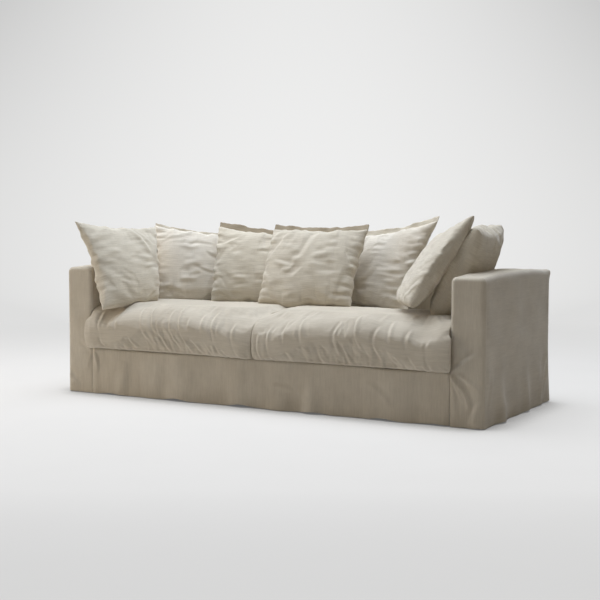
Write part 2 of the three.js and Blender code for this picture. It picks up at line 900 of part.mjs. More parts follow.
const boxPoints = (low, high) => pointsOf(boxBetween(low, high));

// Points of the arms and the back, and of the seat cushions at rest and drawn forward
function obstacles() {
  const top = sofaHeight + topCrown;
  const known = {
    back: boxPoints(corner(-armInnerX, backInnerY, 0), corner(armInnerX, rearY, sofaHeight)),
  };
  for (const { side, word } of sides) {
    known[`arm_${word}`] = pointsOf(sideBox(side, armInnerX, halfWidth, frontY, rearY, 0, top));
  }
  return known;
}

function seatPoints(side) {
  const atRest = seatRings(side, seatSections, 0).flat();
  const drawnOut = atRest.map((point) => point.clone().add(corner(0, -seatTravel, 0)));
  return [...atRest, ...drawnOut];
}

function addPillows() {
  const known = obstacles();
  const seats = sides.map(({ side }) => seatPoints(side));
  const settlingRounds = 6;
  for (const pillow of pillows) {
    const lip = pillowLip * pillow.lipShare;
    const outside = pillowSolid(pillow, pillowCells, 0, 0, seamHalfThickness, lip);
    const turned = new THREE.Matrix4().makeRotationFromEuler(pillowTurn(pillow));
    const local = pointsOf(outside).map((point) => point.applyMatrix4(turned));
    const lift = corner(0, 0, pillowLift).applyMatrix4(turned);
    const place = corner(
      pillow.acrossShare * armInnerX,
      frontY + pillow.depthShare * seatDepth,
      deckHeight + seatThickness,
    );
    const standing = () => local.map((point) => point.clone().add(place));
    const sweptPoints = () => {
      const low = standing();
      return [...low, ...low.map((point) => point.clone().add(lift))];
    };
    for (let round = 0; round < settlingRounds; round += 1) {
      for (const [name, x, y] of pillow.rests) {
        const direction = corner(x, y, 0);
        place.addScaledVector(direction, moveToClear(sweptPoints(), known[name], direction, pillowGap));
      }
      for (const [name, x, y] of pillow.clears) {
        const direction = corner(x, y, 0);
        const move = moveToClear(sweptPoints(), known[name], direction, pillowGap);
        place.addScaledVector(direction, Math.max(move, 0));
      }
      const rises = seats.map((seat) => moveToClear(standing(), seat, corner(0, 0, 1), clearance));
      place.z += Math.max(...rises);
    }
    known[`pillow_${pillow.number}`] = sweptPoints();
    addPillow(pillow, outside, place);
  }
}

function addPillow(pillow, outside, place) {
  const holder = new THREE.Group();
  holder.position.copy(place);
  holder.rotation.copy(pillowTurn(pillow));
  sofa.add(holder);
  const zipHalfLength = (pillowCover * pillowZipShare) / 2;
  const zip = boxBetween(
    corner(-zipHalfLength, -zipHalfWidth, -cutOverrun),
    corner(zipHalfLength, zipHalfWidth, 3 * seamAllowance),
  );
  const hollow = pillowSolid(pillow, hollowCells, seamAllowance, coverWall, seamHalfThickness / 2, 0);
  const fillInset = seamAllowance + clearance;
  const fillWall = coverWall + clearance;
  const fill = pillowSolid(pillow, hollowCells, fillInset, fillWall, seamHalfThickness / 4, 0);
  holder.add(addPiece(`pillow_${pillow.number}_cover`, cut(outside, hollow, zip), paleLinen));
  holder.add(addPiece(`pillow_${pillow.number}_fill`, fill, feather));
}

addFeet();
addBase();
addDustCloth();
sides.forEach(addArmFrame);
addBackFrame();
addSprings();
addDeckPad();
addFrontFoam();
sides.forEach(addArmFoam);
addBackFoam();
sides.forEach(addArmCover);
sides.forEach(addArmFront);
addFrontSkirt();
addRearPanel();
addBackCover();
addDeckCloth();
addSeatCushions();
addPillows();

export default sofa;
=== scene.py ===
"""Looks of a slip-covered linen sofa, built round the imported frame. Metres, +Z up, front towards -Y."""

import json
import logging
import math
from dataclasses import dataclass
from enum import Enum

import bmesh
import bpy
import numpy as np
from mathutils import Matrix, Vector


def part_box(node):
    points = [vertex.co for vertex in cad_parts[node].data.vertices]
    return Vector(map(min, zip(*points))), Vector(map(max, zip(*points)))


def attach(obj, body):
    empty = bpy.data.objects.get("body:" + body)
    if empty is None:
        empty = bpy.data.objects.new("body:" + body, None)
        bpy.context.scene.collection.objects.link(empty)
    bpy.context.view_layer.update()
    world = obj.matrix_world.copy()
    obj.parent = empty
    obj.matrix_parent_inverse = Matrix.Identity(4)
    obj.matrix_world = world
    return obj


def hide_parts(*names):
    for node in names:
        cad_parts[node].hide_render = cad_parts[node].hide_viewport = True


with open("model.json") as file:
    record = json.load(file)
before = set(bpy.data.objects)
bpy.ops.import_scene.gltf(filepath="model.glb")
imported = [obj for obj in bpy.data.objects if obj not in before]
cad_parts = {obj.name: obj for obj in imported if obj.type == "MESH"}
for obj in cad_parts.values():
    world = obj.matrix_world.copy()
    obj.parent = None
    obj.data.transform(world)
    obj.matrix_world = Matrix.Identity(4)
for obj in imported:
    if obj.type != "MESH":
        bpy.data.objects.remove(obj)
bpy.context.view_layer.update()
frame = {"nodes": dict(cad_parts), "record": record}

log = logging.getLogger("sofa")
Array = np.ndarray
BMesh = bmesh.types.BMesh
Colour = tuple[float, float, float]
Node = bpy.types.Node
Piece = bpy.types.Object
Socket = bpy.types.NodeSocket

QUARTER = math.pi / 2.0
TOUCH = 1e-4  # what counts as the same place on a grid of shares


class Side(Enum):
    """The two ends of the sofa, as the photograph shows them."""

    LEFT = -1
    RIGHT = 1

    @property
    def word(self) -> str:
        """The side's name as the frame's nodes spell it."""
        return self.name.lower()


class Lay(Enum):
    STRETCHED = "stretched"
    HUNG = "hung"
    LAID = "laid"


@dataclass(frozen=True)
class Sofa:
    """Sizes that the cover, the cushions and the pillows share, in metres."""

    half_width: float = 1.2
    front: float = -0.475
    rear: float = 0.475
    height: float = 0.681
    arm_inner: float = 1.033  # from the middle to an arm's inner face
    back_inner: float = 0.305
    deck: float = 0.25
    shoulder: float = 0.026  # radius of the upper edges
    crown: float = 0.017  # how much the padding lifts the middle of an arm's top
    roll: float = 0.018  # radius of the edges between the panels
    cloth: float = 0.003
    hem: float = 0.003  # from the floor to the hem
    gap: float = 0.0004  # between two panels
    stand: float = 0.0015  # how far the cloth stands off its padding on average
    fade: float = 0.03  # how far from a seam the cloth starts to stand off
    hang: float = 0.62  # share of the height over which the hem's folds fade out


SOFA = Sofa()


# Numbers over a surface


def smooth_step(low: float, high: float, value: Array) -> Array:
    """A soft step from 0 at low to 1 at high.

    Args:
        low: where the step starts.
        high: where it ends, which may lie below low.
        value: the places to read it at.

    Returns:
        The step's height at each place.
    """
    share = np.clip((value - low) / (high - low), 0.0, 1.0)
    return share * share * (3.0 - 2.0 * share)


def bell(offset: Array, width: float) -> Array:
    """A soft bump of height 1 round an offset of 0."""
    return np.exp(-((offset / width) ** 2))


def off_seam(distance: Array) -> Array:
    """How free the cloth is at a distance from its seam, from 0 to 1."""
    return smooth_step(0.0, SOFA.fade, distance)


def swell(across: Array, up: Array) -> Array:
    """The height of a square's swollen form, 0 round its edge and 1 in its middle."""
    return np.clip((1.0 - across**2) * (1.0 - up**2), 0.0, 1.0)


@dataclass(frozen=True)
class Ripples:
    """Smooth seeded unevenness over a surface.

    Attributes:
        seed: picks the pattern.
        wavelength: the usual distance between crests, in metres.
        stretch: how much longer the crests are along the second direction.
        height: about how high the crests are.
        count: how many waves are summed.
    """

    seed: int
    wavelength: float
    stretch: float = 1.0
    height: float = 1.0
    count: int = 18

    def at(self, u: Array, v: Array) -> Array:
        """The height at places given in metres along two directions.

        Args:
            u: distances along the first direction.
            v: distances along the second direction.

        Returns:
            The summed waves at each place.
        """
        chance = np.random.default_rng(self.seed)
        total = np.zeros(len(u))
        for _ in range(self.count):
            angle = chance.uniform(0.0, math.pi)
            number = 2.0 * math.pi / (self.wavelength * chance.uniform(0.7, 1.6))
            phase = chance.uniform(0.0, 2.0 * math.pi)
            total += np.sin(number * (u * math.cos(angle) + v * math.sin(angle) / self.stretch) + phase)
        return total * math.sqrt(2.0 / self.count) * self.height

    def creases(self, u: Array, v: Array, sharpness: float) -> Array:
        """Thin ridges where the unevenness crosses zero.

        Args:
            u: distances along the first direction.
            v: distances along the second direction.
            sharpness: how thin the ridges are.

        Returns:
            A height from 0 to 1 at each place.
        """
        return np.exp(-((self.at(u, v) * sharpness) ** 2))


@dataclass(frozen=True)
class Fold:
    """One fold of cloth along a bent line on a surface.

    Attributes:
        start: where it starts, in the surface's own metres.
        end: where it ends.
        bend: how far its middle stands to the left of the straight line.
        width: half its width.
        height: its height, below zero for a groove.
        twin: the height of the opposite slope beside it, as a share.
        apart: how far off that slope lies, in half widths.
    """

    start: tuple[float, float]
    end: tuple[float, float]
    bend: float = 0.0
    width: float = 0.012
    height: float = 0.005
    twin: float = 0.5
    apart: float = 1.7

    def at(self, u: Array, v: Array) -> Array:
        """The fold's height at places on the surface.

        Args:
            u: distances along the first direction.
            v: distances along the second direction.

        Returns:
            The height at each place.
        """
        begin, finish = np.array(self.start), np.array(self.end)
        line = finish - begin
        length = max(float(np.hypot(*line)), 1e-6)
        along_line = line / length
        across_line = np.array([-along_line[1], along_line[0]])
        away = np.stack([u, v], axis=1) - begin
        share = away @ along_line / length
        inside = np.clip(share, 0.0, 1.0)
        bow = 4.0 * inside * (1.0 - inside)
        offset = away @ across_line - self.bend * bow
        taper = np.sqrt(np.clip(bow, 0.0, 1.0)) * bell((share - inside) * length, self.width)
        beside = bell(offset - self.apart * self.width, self.width)
        return self.height * taper * (bell(offset, self.width) - self.twin * beside)


def folded(folds: list[Fold] | tuple[Fold, ...], u: Array, v: Array) -> Array:
    """The summed height of several folds.

    Args:
        folds: the folds.
        u: distances along the first direction.
        v: distances along the second direction.

    Returns:
        The height at each place.
    """
    total = np.zeros(len(u))
    for fold in folds:
        total += fold.at(u, v)
    return total


def held_out(stand: Array, least: float = -0.003, softness: float = 0.0012) -> Array:
    """Stops a cloth softly where it would sink into what it lies on.

    Args:
        stand: how far the cloth stands off its smooth shape.
        least: the lowest that it may go.
        softness: how gradually it stops.

    Returns:
        The distance at each point.
    """
    return least + softness * np.logaddexp(0.0, (stand - least) / softness)


# Shader nodes


class Wiring:
    """Short calls that add nodes to a tree and link them."""

    def __init__(self, tree: bpy.types.NodeTree) -> None:
        """Keeps the tree that the calls add to."""
        self.tree = tree

    def link(self, value: Socket | float | tuple, socket: Socket) -> None:
        """Links a socket to an input, or writes a plain value on it."""
        if isinstance(value, bpy.types.NodeSocket):
            self.tree.links.new(value, socket)
        else:
            socket.default_value = value

    def fill(self, node: Node, inputs: dict[str | int, Socket | float | tuple]) -> None:
        """Links or writes several inputs of a node, by name or by number."""
        for name, value in inputs.items():
            self.link(value, node.inputs[name])

    def node(self, kind: str, inputs: dict[str | int, Socket | float | tuple], **settings: object) -> Node:
        """Adds a node.

        Args:
            kind: its type, without the words that every type starts with.
            inputs: what each of its inputs gets, by name or by number.
            settings: its own settings.

        Returns:
            The node.
        """
        node = self.tree.nodes.new(f"ShaderNode{kind}")
        for name, value in settings.items():
            setattr(node, name, value)
        self.fill(node, inputs)
        return node

    def math(self, operation: str, first: Socket | float, second: Socket | float) -> Socket:
        """A Math node's result."""
        return self.node("Math", {0: first, 1: second}, operation=operation).outputs[0]

    def add(self, first: Socket | float, second: Socket | float) -> Socket:
        """The sum of two values."""
        return self.math("ADD", first, second)

    def times(self, first: Socket | float, second: Socket | float) -> Socket:
        """The product of two values."""
        return self.math("MULTIPLY", first, second)

    def centred(self, value: Socket) -> Socket:
        """A value from 0 to 1 moved to lie round 0."""
        return self.math("SUBTRACT", value, 0.5)

    def vector_math(self, operation: str, *vectors: Socket | tuple) -> Node:
        """A Vector Math node."""
        return self.node("VectorMath", dict(enumerate(vectors)), operation=operation)

    def mapped(self, place: Socket, change: str, values: tuple[float, float, float]) -> Socket:
        """A place scaled or turned: the change is Scale or Rotation."""
        return self.node("Mapping", {"Vector": place, change: values}).outputs["Vector"]

    def noise(self, place: Socket, scale: float, detail: float, roughness: float) -> Socket:
        """A Noise node's value, from about 0 to 1."""
        inputs = {"Vector": place, "Scale": scale, "Detail": detail, "Roughness": roughness}
        return self.node("TexNoise", inputs).outputs["Fac"]

    def bands(self, place: Socket, direction: str, scale: float, distortion: float) -> Socket:
        """A Wave node's bands across one direction."""
        inputs = {"Vector": place, "Scale": scale, "Distortion": distortion}
        return self.node("TexWave", inputs, bands_direction=direction).outputs["Fac"]

    def ramp(self, value: Socket, stops: list[tuple[float, Colour]]) -> Socket:
        """A colour ramp.

        Args:
            value: what drives it.
            stops: places from 0 to 1 with their colours.

        Returns:
            The colour.
        """
        node = self.node("ValToRGB", {"Fac": value})
        elements = node.color_ramp.elements
        while len(elements) < len(stops):
            elements.new(0.5)
        for element, (place, colour) in zip(elements, stops):
            element.position = place
            element.color = (*colour, 1.0)
        return node.outputs["Color"]

    def spread(self, value: Socket, low: float, high: float, new_low: float, new_high: float) -> Socket:
        """A value's range changed to another one, clamped."""
        ends = {"From Min": low, "From Max": high, "To Min": new_low, "To Max": new_high}
        return self.node("MapRange", {"Value": value, **ends}).outputs["Result"]

    def bump(self, height: Socket, distance: float) -> Socket:
        """A Bump node's normal."""
        return self.node("Bump", {"Height": height, "Distance": distance}).outputs["Normal"]

    def mixed(self, factor: Socket, first: Node, second: Node) -> Node:
        """A mix of two shaders."""
        return self.node("MixShader", {0: factor, 1: first.outputs[0], 2: second.outputs[0]})


class NodeGroup:
    """A node group with a place and named values as inputs, and named outputs, built once."""

    def __init__(self, name: str, inputs: list[str], outputs: list[str]) -> None:
        """Makes the empty group.

        Args:
            name: the group's name.
            inputs: the names of the values that it reads.
            outputs: the names of its outputs.
        """
        self.tree = bpy.data.node_groups.new(name, "ShaderNodeTree")
        self.wire = Wiring(self.tree)
        new_socket = self.tree.interface.new_socket
        new_socket(name="Place", in_out="INPUT", socket_type="NodeSocketVector")
        for socket in inputs:
            new_socket(name=socket, in_out="INPUT", socket_type="NodeSocketFloat").default_value = 1.0
        for socket in outputs:
            new_socket(name=socket, in_out="OUTPUT", socket_type="NodeSocketFloat")
        self.inputs = self.tree.nodes.new("NodeGroupInput").outputs
        self.outputs = self.tree.nodes.new("NodeGroupOutput").inputs


def linen_group() -> bpy.types.NodeTree:
    """Plain-woven linen: threads both ways, thick slubs along them and a washed, uneven tone.

    Returns:
        The group, with its tone and its height as outputs.
    """
    group = NodeGroup("linen_weave", ["Slubs", "Mottle"], ["Tone", "Height"])
    wire, place = group.wire, group.inputs["Place"]
    weft, warp, long_weft = (
        wire.centred(wire.noise(wire.mapped(place, "Scale", scale), 1.0, detail, 0.6))
        for scale, detail in (((16.0, 210.0, 1.0), 3.0), ((210.0, 16.0, 1.0), 3.0), ((4.0, 75.0, 1.0), 2.0))
    )
    streaks = wire.add(wire.add(weft, wire.times(warp, 0.25)), wire.times(long_weft, 0.6))
    slubs = wire.times(streaks, group.inputs["Slubs"])
    mottle = wire.times(wire.centred(wire.noise(place, 7.0, 3.0, 0.55)), group.inputs["Mottle"])
    threads = wire.times(wire.bands(place, "X", 410.0, 1.0), wire.bands(place, "Y", 410.0, 1.0))
    wire.link(wire.add(wire.add(0.5, slubs), mottle), group.outputs["Tone"])
    wire.link(wire.add(wire.times(slubs, 0.9), wire.times(threads, 0.06)), group.outputs["Height"])
    return group.tree


def grain_group() -> bpy.types.NodeTree:
    """Wood grain along the X axis of the place that it is given.

    Returns:
        The group, with its tone and its height as outputs.
    """
    group = NodeGroup("wood_grain", ["Contrast"], ["Tone", "Height"])
    wire, place = group.wire, group.inputs["Place"]
    rings = wire.bands(wire.mapped(place, "Scale", (0.6, 9.0, 9.0)), "Y", 1.6, 5.0)
    pores = wire.noise(wire.mapped(place, "Scale", (6.0, 260.0, 260.0)), 1.0, 3.0, 0.6)
    both = wire.add(wire.times(rings, 0.55), wire.times(pores, 0.45))
    wire.link(wire.add(0.5, wire.times(wire.centred(both), group.inputs["Contrast"])), group.outputs["Tone"])
    wire.link(pores, group.outputs["Height"])
    return group.tree


LINEN, GRAIN = linen_group(), grain_group()


@dataclass(frozen=True)
class Finish:
    """A material's plain values, which each kind of finish adds its own nodes to.

    Attributes:
        name: the material's name.
        slot: the record's material slot; not used.
        dark: the colour of the deep parts.
        light: the colour of the worn and raised parts.
        roughness: the surface's roughness.
    """

    name: str
    slot: str
    dark: Colour
    light: Colour
    roughness: float = 0.9

    def make(self) -> bpy.types.Material:
        """Builds the material.

        Returns:
            The material.
        """
        material = bpy.data.materials.new(self.name)
        material.use_nodes = True
        wire = Wiring(material.node_tree)
        sockets = {"Roughness": self.roughness, **self.sockets(wire)}
        wire.fill(material.node_tree.nodes["Principled BSDF"], sockets)
        return material

    def sockets(self, wire: Wiring) -> dict[str, Socket | float]:
        """What each input of the shader gets."""
        raise NotImplementedError

    def object_place(self, wire: Wiring) -> Socket:
        """The object's own coordinates, in metres."""
        return wire.node("TexCoord", {}).outputs["Object"]


@dataclass(frozen=True)
class LinenFinish(Finish):
    """Washed linen with slubs, a thread weave and a dry sheen, its long streaks across or upright."""

    slubs: float = 0.62
    mottle: float = 0.6
    relief: float = 0.0007
    sheen: float = 0.32
    upright: bool = False

    def sockets(self, wire: Wiring) -> dict[str, Socket | float]:
        """What each input of the shader gets, over the piece's own cloth map."""
        place = wire.node("UVMap", {}, uv_map="cloth").outputs["UV"]
        if self.upright:
            place = wire.mapped(place, "Rotation", (0.0, 0.0, QUARTER))
        inputs = {"Place": place, "Slubs": self.slubs, "Mottle": self.mottle}
        weave = wire.node("Group", inputs, node_tree=LINEN).outputs
        middle = tuple((a + b) / 2.0 for a, b in zip(self.dark, self.light))
        return {
            "Base Color": wire.ramp(weave["Tone"], [(0.12, self.dark), (0.5, middle), (0.88, self.light)]),
            "Roughness": wire.spread(weave["Tone"], 0.2, 0.8, 0.97, 0.86),
            "Normal": wire.bump(weave["Height"], self.relief),
            "Specular IOR Level": 0.22,
            "Sheen Weight": self.sheen,
            "Sheen Roughness": 0.6,
        }


@dataclass(frozen=True)
class WoodFinish(Finish):
    """Sawn or painted wood with its grain along one axis."""

    along: str = "X"
    contrast: float = 1.0
    relief: float = 0.0004

    def sockets(self, wire: Wiring) -> dict[str, Socket | float]:
        """What each input of the shader gets."""
        turns = {"X": (0.0, 0.0, 0.0), "Y": (0.0, 0.0, QUARTER), "Z": (0.0, QUARTER, 0.0)}
        place = wire.mapped(self.object_place(wire), "Rotation", turns[self.along])
        grain = wire.node("Group", {"Place": place, "Contrast": self.contrast}, node_tree=GRAIN).outputs
        return {
            "Base Color": wire.ramp(grain["Tone"], [(0.2, self.dark), (0.8, self.light)]),
            "Normal": wire.bump(grain["Height"], self.relief),
        }


@dataclass(frozen=True)
class PaddingFinish(Finish):
    """Foam, felt or down: small pores over broad soft patches."""

    pores: float = 900.0
    relief: float = 0.0006

    def sockets(self, wire: Wiring) -> dict[str, Socket | float]:
        """What each input of the shader gets."""
        place = self.object_place(wire)
        fine, broad = wire.noise(place, self.pores, 2.0, 0.6), wire.noise(place, 9.0, 2.0, 0.5)
        tone = wire.add(wire.times(fine, 0.55), wire.times(broad, 0.45))
        return {
            "Base Color": wire.ramp(tone, [(0.3, self.dark), (0.7, self.light)]),
            "Normal": wire.bump(fine, self.relief),
        }


@dataclass(frozen=True)
class SteelFinish(Finish):
    """Drawn steel wire with a dull, streaked shine."""

    relief: float = 0.0001

    def sockets(self, wire: Wiring) -> dict[str, Socket | float]:
        """What each input of the shader gets."""
        streaks = wire.noise(wire.mapped(self.object_place(wire), "Scale", (40.0, 6.0, 40.0)), 4.0, 3.0, 0.6)
        return {
            "Base Color": wire.ramp(streaks, [(0.25, self.dark), (0.75, self.light)]),
            "Roughness": wire.spread(streaks, 0.2, 0.8, 0.3, 0.5),
            "Normal": wire.bump(streaks, self.relief),
            "Metallic": 1.0,
        }


class Palette:
    """Every finish of the sofa, made once."""

    def __init__(self) -> None:
        """Builds the materials."""
        cover = ("linen", (0.42, 0.366, 0.287), (0.625, 0.56, 0.455))
        case = "pillow_linen"
        threads = {"slubs": 1.0, "relief": 0.0011}
        finishes = {
            "cover": LinenFinish("cover_linen", *cover, slubs=0.52, upright=True),
            "seat": LinenFinish("seat_linen", *cover),
            "pillow": LinenFinish("pillow_linen", case, (0.49, 0.432, 0.338), (0.695, 0.63, 0.513), **threads),
            # a lighter copy of the pillow linen, whose extra lightness is painted light
            "pale": LinenFinish("pale_pillow_linen", case, (0.57, 0.51, 0.42), (0.8, 0.735, 0.63), **threads),
            # a darker copy of the pillow linen, whose extra darkness is painted shade
            "deep": LinenFinish("deep_pillow_linen", case, (0.46, 0.405, 0.32), (0.655, 0.595, 0.485), **threads),
            # a dark linen for the lips, whose darkness is painted shade inside the lip
            "lip": LinenFinish("pillow_lip_linen", case, (0.25, 0.2, 0.13), (0.42, 0.35, 0.25)),
            "dust": LinenFinish("dust_cloth", "black_cloth", (0.012, 0.012, 0.014), (0.04, 0.04, 0.043), mottle=0.2),
            "foam": PaddingFinish("foam", "foam", (0.62, 0.56, 0.42), (0.8, 0.75, 0.62)),
            "felt": PaddingFinish("felt", "felt", (0.5, 0.48, 0.43), (0.74, 0.71, 0.65), pores=300.0, relief=0.001),
            "down": PaddingFinish("down", "feather", (0.7, 0.69, 0.64), (0.87, 0.86, 0.82), pores=160.0),
            "steel": SteelFinish("spring_steel", "spring_steel", (0.3, 0.31, 0.33), (0.5, 0.51, 0.53), 0.4),
            "foot": WoodFinish("foot_wood", "foot_wood", (0.015, 0.012, 0.01), (0.05, 0.042, 0.036), 0.45, "Z"),
            "plywood": WoodFinish("plywood", "plywood", (0.5, 0.38, 0.22), (0.68, 0.55, 0.37), 0.75, "X", 0.7),
        }
        for along in "XYZ":
            name = f"timber_{along}"
            finishes[name] = WoodFinish(name, "timber", (0.38, 0.26, 0.14), (0.6, 0.45, 0.28), 0.7, along)
        self.finishes: dict[str, Finish] = finishes
        self.materials = {name: finish.make() for name, finish in finishes.items()}

    def paint(self, piece: Piece, name: str) -> None:
        """Puts one finish on a piece, in place of what it has."""
        piece.data.materials.clear()
        piece.data.materials.append(self.materials[name])

    def dress(self, piece: Piece, name: str) -> None:
        """Gives a piece one finish.

        Args:
            piece: the object.
            name: the finish's name here.
        """
        self.paint(piece, name)


# Meshes


def as_object(name: str, mesh: BMesh) -> Piece:
    """Turns a mesh in the making into an object of the scene.

    Args:
        name: the object's name.
        mesh: the mesh, which is freed.

    Returns:
        The object.
    """
    data = bpy.data.meshes.new(name)
    mesh.to_mesh(data)
    mesh.free()
    made = bpy.data.objects.new(name, data)
    bpy.context.scene.collection.objects.link(made)
    return made


def lay_out(mesh: BMesh, points: Array) -> None:
    """Moves the points of a mesh in the making."""
    for vert, point in zip(mesh.verts, points):
        vert.co = point


def smooth_faces(mesh: BMesh) -> None:
    """Shades all faces of a mesh in the making as one smooth surface."""
    for face in mesh.faces:
        face.smooth = True


def joined_squares(columns: int, rows: int) -> tuple[BMesh, Array, Array, Array]:
    """Two square cloths joined round their edge.

    Args:
        columns: cells across.
        rows: cells up.

    Returns:
        The mesh, each point's share across and up from -1 to 1, and -1 or 1 for front or rear.
    """
    mesh = bmesh.new()
    bmesh.ops.create_grid(mesh, x_segments=columns, y_segments=rows, size=1.0)
    grown = bmesh.ops.extrude_face_region(mesh, geom=mesh.faces[:])
    rear_verts = {item for item in grown["geom"] if isinstance(item, bmesh.types.BMVert)}
    mesh.verts.index_update()
    across, up = (np.array([vert.co[k] for vert in mesh.verts]) for k in (0, 1))
    layer = np.array([1.0 if vert in rear_verts else -1.0 for vert in mesh.verts])
    return mesh, across, up, layer


def smoothed(piece: Piece) -> None:
    """Subdivides a piece once, in the viewport as in the render."""
    smooth = piece.modifiers.new("smooth", "SUBSURF")
    smooth.levels = smooth.render_levels = 1


@dataclass
class Weave:
    """A regular grid of cloth that a shape function lays out in space.

    Attributes:
        name: the piece's name.
        width: the flat cloth's width, in metres.
        length: its length, in metres.
        columns: cells across.
        rows: cells along.
    """

    name: str
    width: float
    length: float
    columns: int
    rows: int

    def __post_init__(self) -> None:
        """Makes the flat grid, with each point's share across and along from 0 to 1."""
        self.mesh = bmesh.new()
        bmesh.ops.create_grid(self.mesh, x_segments=self.columns, y_segments=self.rows, size=0.5)
        flat = np.array([vert.co[:] for vert in self.mesh.verts])
        self.across, self.along = flat[:, 0] + 0.5, flat[:, 1] + 0.5

    def piece(self, points: Array, inside: Vector) -> Piece:
        """Lays the grid out and makes it a sheet with its thickness.

        Args:
            points: where each point goes.
            inside: a point behind the cloth, which its faces turn away from.

        Returns:
            The object, with a cloth map in metres.
        """
        mesh = self.mesh
        lay_out(mesh, points)
        smooth_faces(mesh)
        mesh.verts.index_update()
        cloth = mesh.loops.layers.uv.new("cloth")
        flat = np.stack([self.across * self.width, self.along * self.length], axis=1)
        for face in mesh.faces:
            for loop in face.loops:
                loop[cloth].uv = flat[loop.vert.index]
        mesh.normal_update()
        outwards = sum(face.normal.dot(face.calc_center_median() - inside) * face.calc_area() for face in mesh.faces)
        if outwards < 0.0:
            bmesh.ops.reverse_faces(mesh, faces=mesh.faces[:])
        made = as_object(self.name, mesh)
        smoothed(made)
        shell = made.modifiers.new("cloth", "SOLIDIFY")
        shell.thickness = SOFA.cloth
        shell.offset = -1.0
        return made

    def cover(self, points: Array, inside: Vector, palette: Palette, node: str, lay: Lay, rests_on: str) -> Piece:
        """Makes the cloth a panel of the loose cover.

        Args:
            points: where each point goes.
            inside: a point behind the cloth.
            palette: the finishes.
            node: the frame's node that it stands for.
            lay: how it is held; not used.
            rests_on: what it lies on; not used.

        Returns:
            The panel.
        """
        piece = self.piece(points, inside)
        palette.dress(piece, "cover")
        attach(piece, "frame")
        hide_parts(node)
        return piece


def read_points(piece: Piece) -> Array:
    """A mesh's points as rows of x, y, z."""
    points = np.empty(len(piece.data.vertices) * 3)
    piece.data.vertices.foreach_get("co", points)
    return points.reshape(-1, 3)


def write_points(piece: Piece, points: Array) -> None:
    """Moves a mesh's points."""
    piece.data.vertices.foreach_set("co", points.astype(np.float32).ravel())
    piece.data.update()


def read_normals(piece: Piece) -> Array:
    """A mesh's point normals as rows of x, y, z."""
    normals = np.empty(len(piece.data.vertices) * 3, np.float32)
    piece.data.vertex_normals.foreach_get("vector", normals)
    return normals.reshape(-1, 3).astype(float)


@dataclass(frozen=True)
class Swelling:
    """A cloth simulation that presses a closed cover out from within.

    Attributes:
        frames: how many frames it runs.
        pressure: the pressure inside.
        growth: how much larger the cloth is than the shape it starts from.
        bending: how hard the cloth is to bend.
        stiffness: how hard it is to stretch.
        quality: steps in a frame.
        most: how far a point may move, in metres.
        mass: the mass of a point.
    """

    frames: int
    pressure: float
    growth: float
    bending: float
    stiffness: float = 15.0
    quality: int = 4
    most: float = 0.06
    mass: float = 0.3

    def run(self, piece: Piece, held: Array) -> None:
        """Simulates a piece and writes the result into its mesh.

        Args:
            piece: the closed mesh.
            held: for each point, how firmly it is held, from 0 to 1.
        """
        start = read_points(piece)
        grip = piece.vertex_groups.new(name="held")
        for index in np.nonzero(held > 0.0)[0]:
            grip.add([int(index)], float(held[index]), "REPLACE")
        cloth = piece.modifiers.new("swelling", "CLOTH")
        values = cloth.settings
        values.quality = self.quality
        values.mass = self.mass
        values.tension_stiffness = values.compression_stiffness = self.stiffness
        values.shear_stiffness = self.stiffness / 3.0
        values.bending_stiffness = self.bending
        values.shrink_min = -self.growth
        values.use_pressure = True
        values.uniform_pressure_force = self.pressure
        values.effector_weights.gravity = 0.0
        values.vertex_group_mass = "held"
        cloth.collision_settings.use_collision = False
        cloth.point_cache.frame_start = 1
        cloth.point_cache.frame_end = self.frames
        scene = bpy.context.scene
        for number in range(1, self.frames + 1):
            scene.frame_set(number)
        result = piece.evaluated_get(bpy.context.evaluated_depsgraph_get())
        moved = np.empty(len(start) * 3)
        result.data.vertices.foreach_get("co", moved)
        change = moved.reshape(-1, 3) - start
        length = np.linalg.norm(change, axis=1, keepdims=True)
        change *= np.minimum(1.0, self.most / np.maximum(length, 1e-9))
        piece.modifiers.clear()
        piece.vertex_groups.clear()
        scene.frame_set(1)
        write_points(piece, start + change)


class Outline:
    """A smooth line through points of a plane, read by its share of length."""

    def __init__(self, points: list[tuple[float, float]], steps: int = 12) -> None:
        """Runs a curve through the points.

        Args:
            points: the points in order.
            steps: how finely each span is read.
        """
        rows = np.array(points, float)
        padded = np.vstack([2.0 * rows[0] - rows[1], rows, 2.0 * rows[-1] - rows[-2]])
        share = np.linspace(0.0, 1.0, steps, endpoint=False)[:, None]
        spans = []
        for i in range(1, len(padded) - 2):
            before, here, there, after = padded[i - 1], padded[i], padded[i + 1], padded[i + 2]
            spans.append(
                0.5
                * (
                    2.0 * here
                    + (there - before) * share
                    + (2.0 * before - 5.0 * here + 4.0 * there - after) * share**2
                    + (3.0 * here - before - 3.0 * there + after) * share**3
                )
            )
        self.line = np.vstack([*spans, padded[-2]])
        lengths = np.hypot(*np.diff(self.line, axis=0).T)
        self.along = np.concatenate([[0.0], np.cumsum(lengths)]) / lengths.sum()
        self.length = float(lengths.sum())

    def at(self, share: Array) -> tuple[Array, Array]:
        """The line's two coordinates at shares of its length."""
        return np.interp(share, self.along, self.line[:, 0]), np.interp(share, self.along, self.line[:, 1])


# The loose cover


def top_lift(y: Array) -> Array:
    """How much the padding lifts the top of an arm at places along its depth."""
    return SOFA.crown * (1.0 - np.clip(y / SOFA.rear, -1.0, 1.0) ** 2)


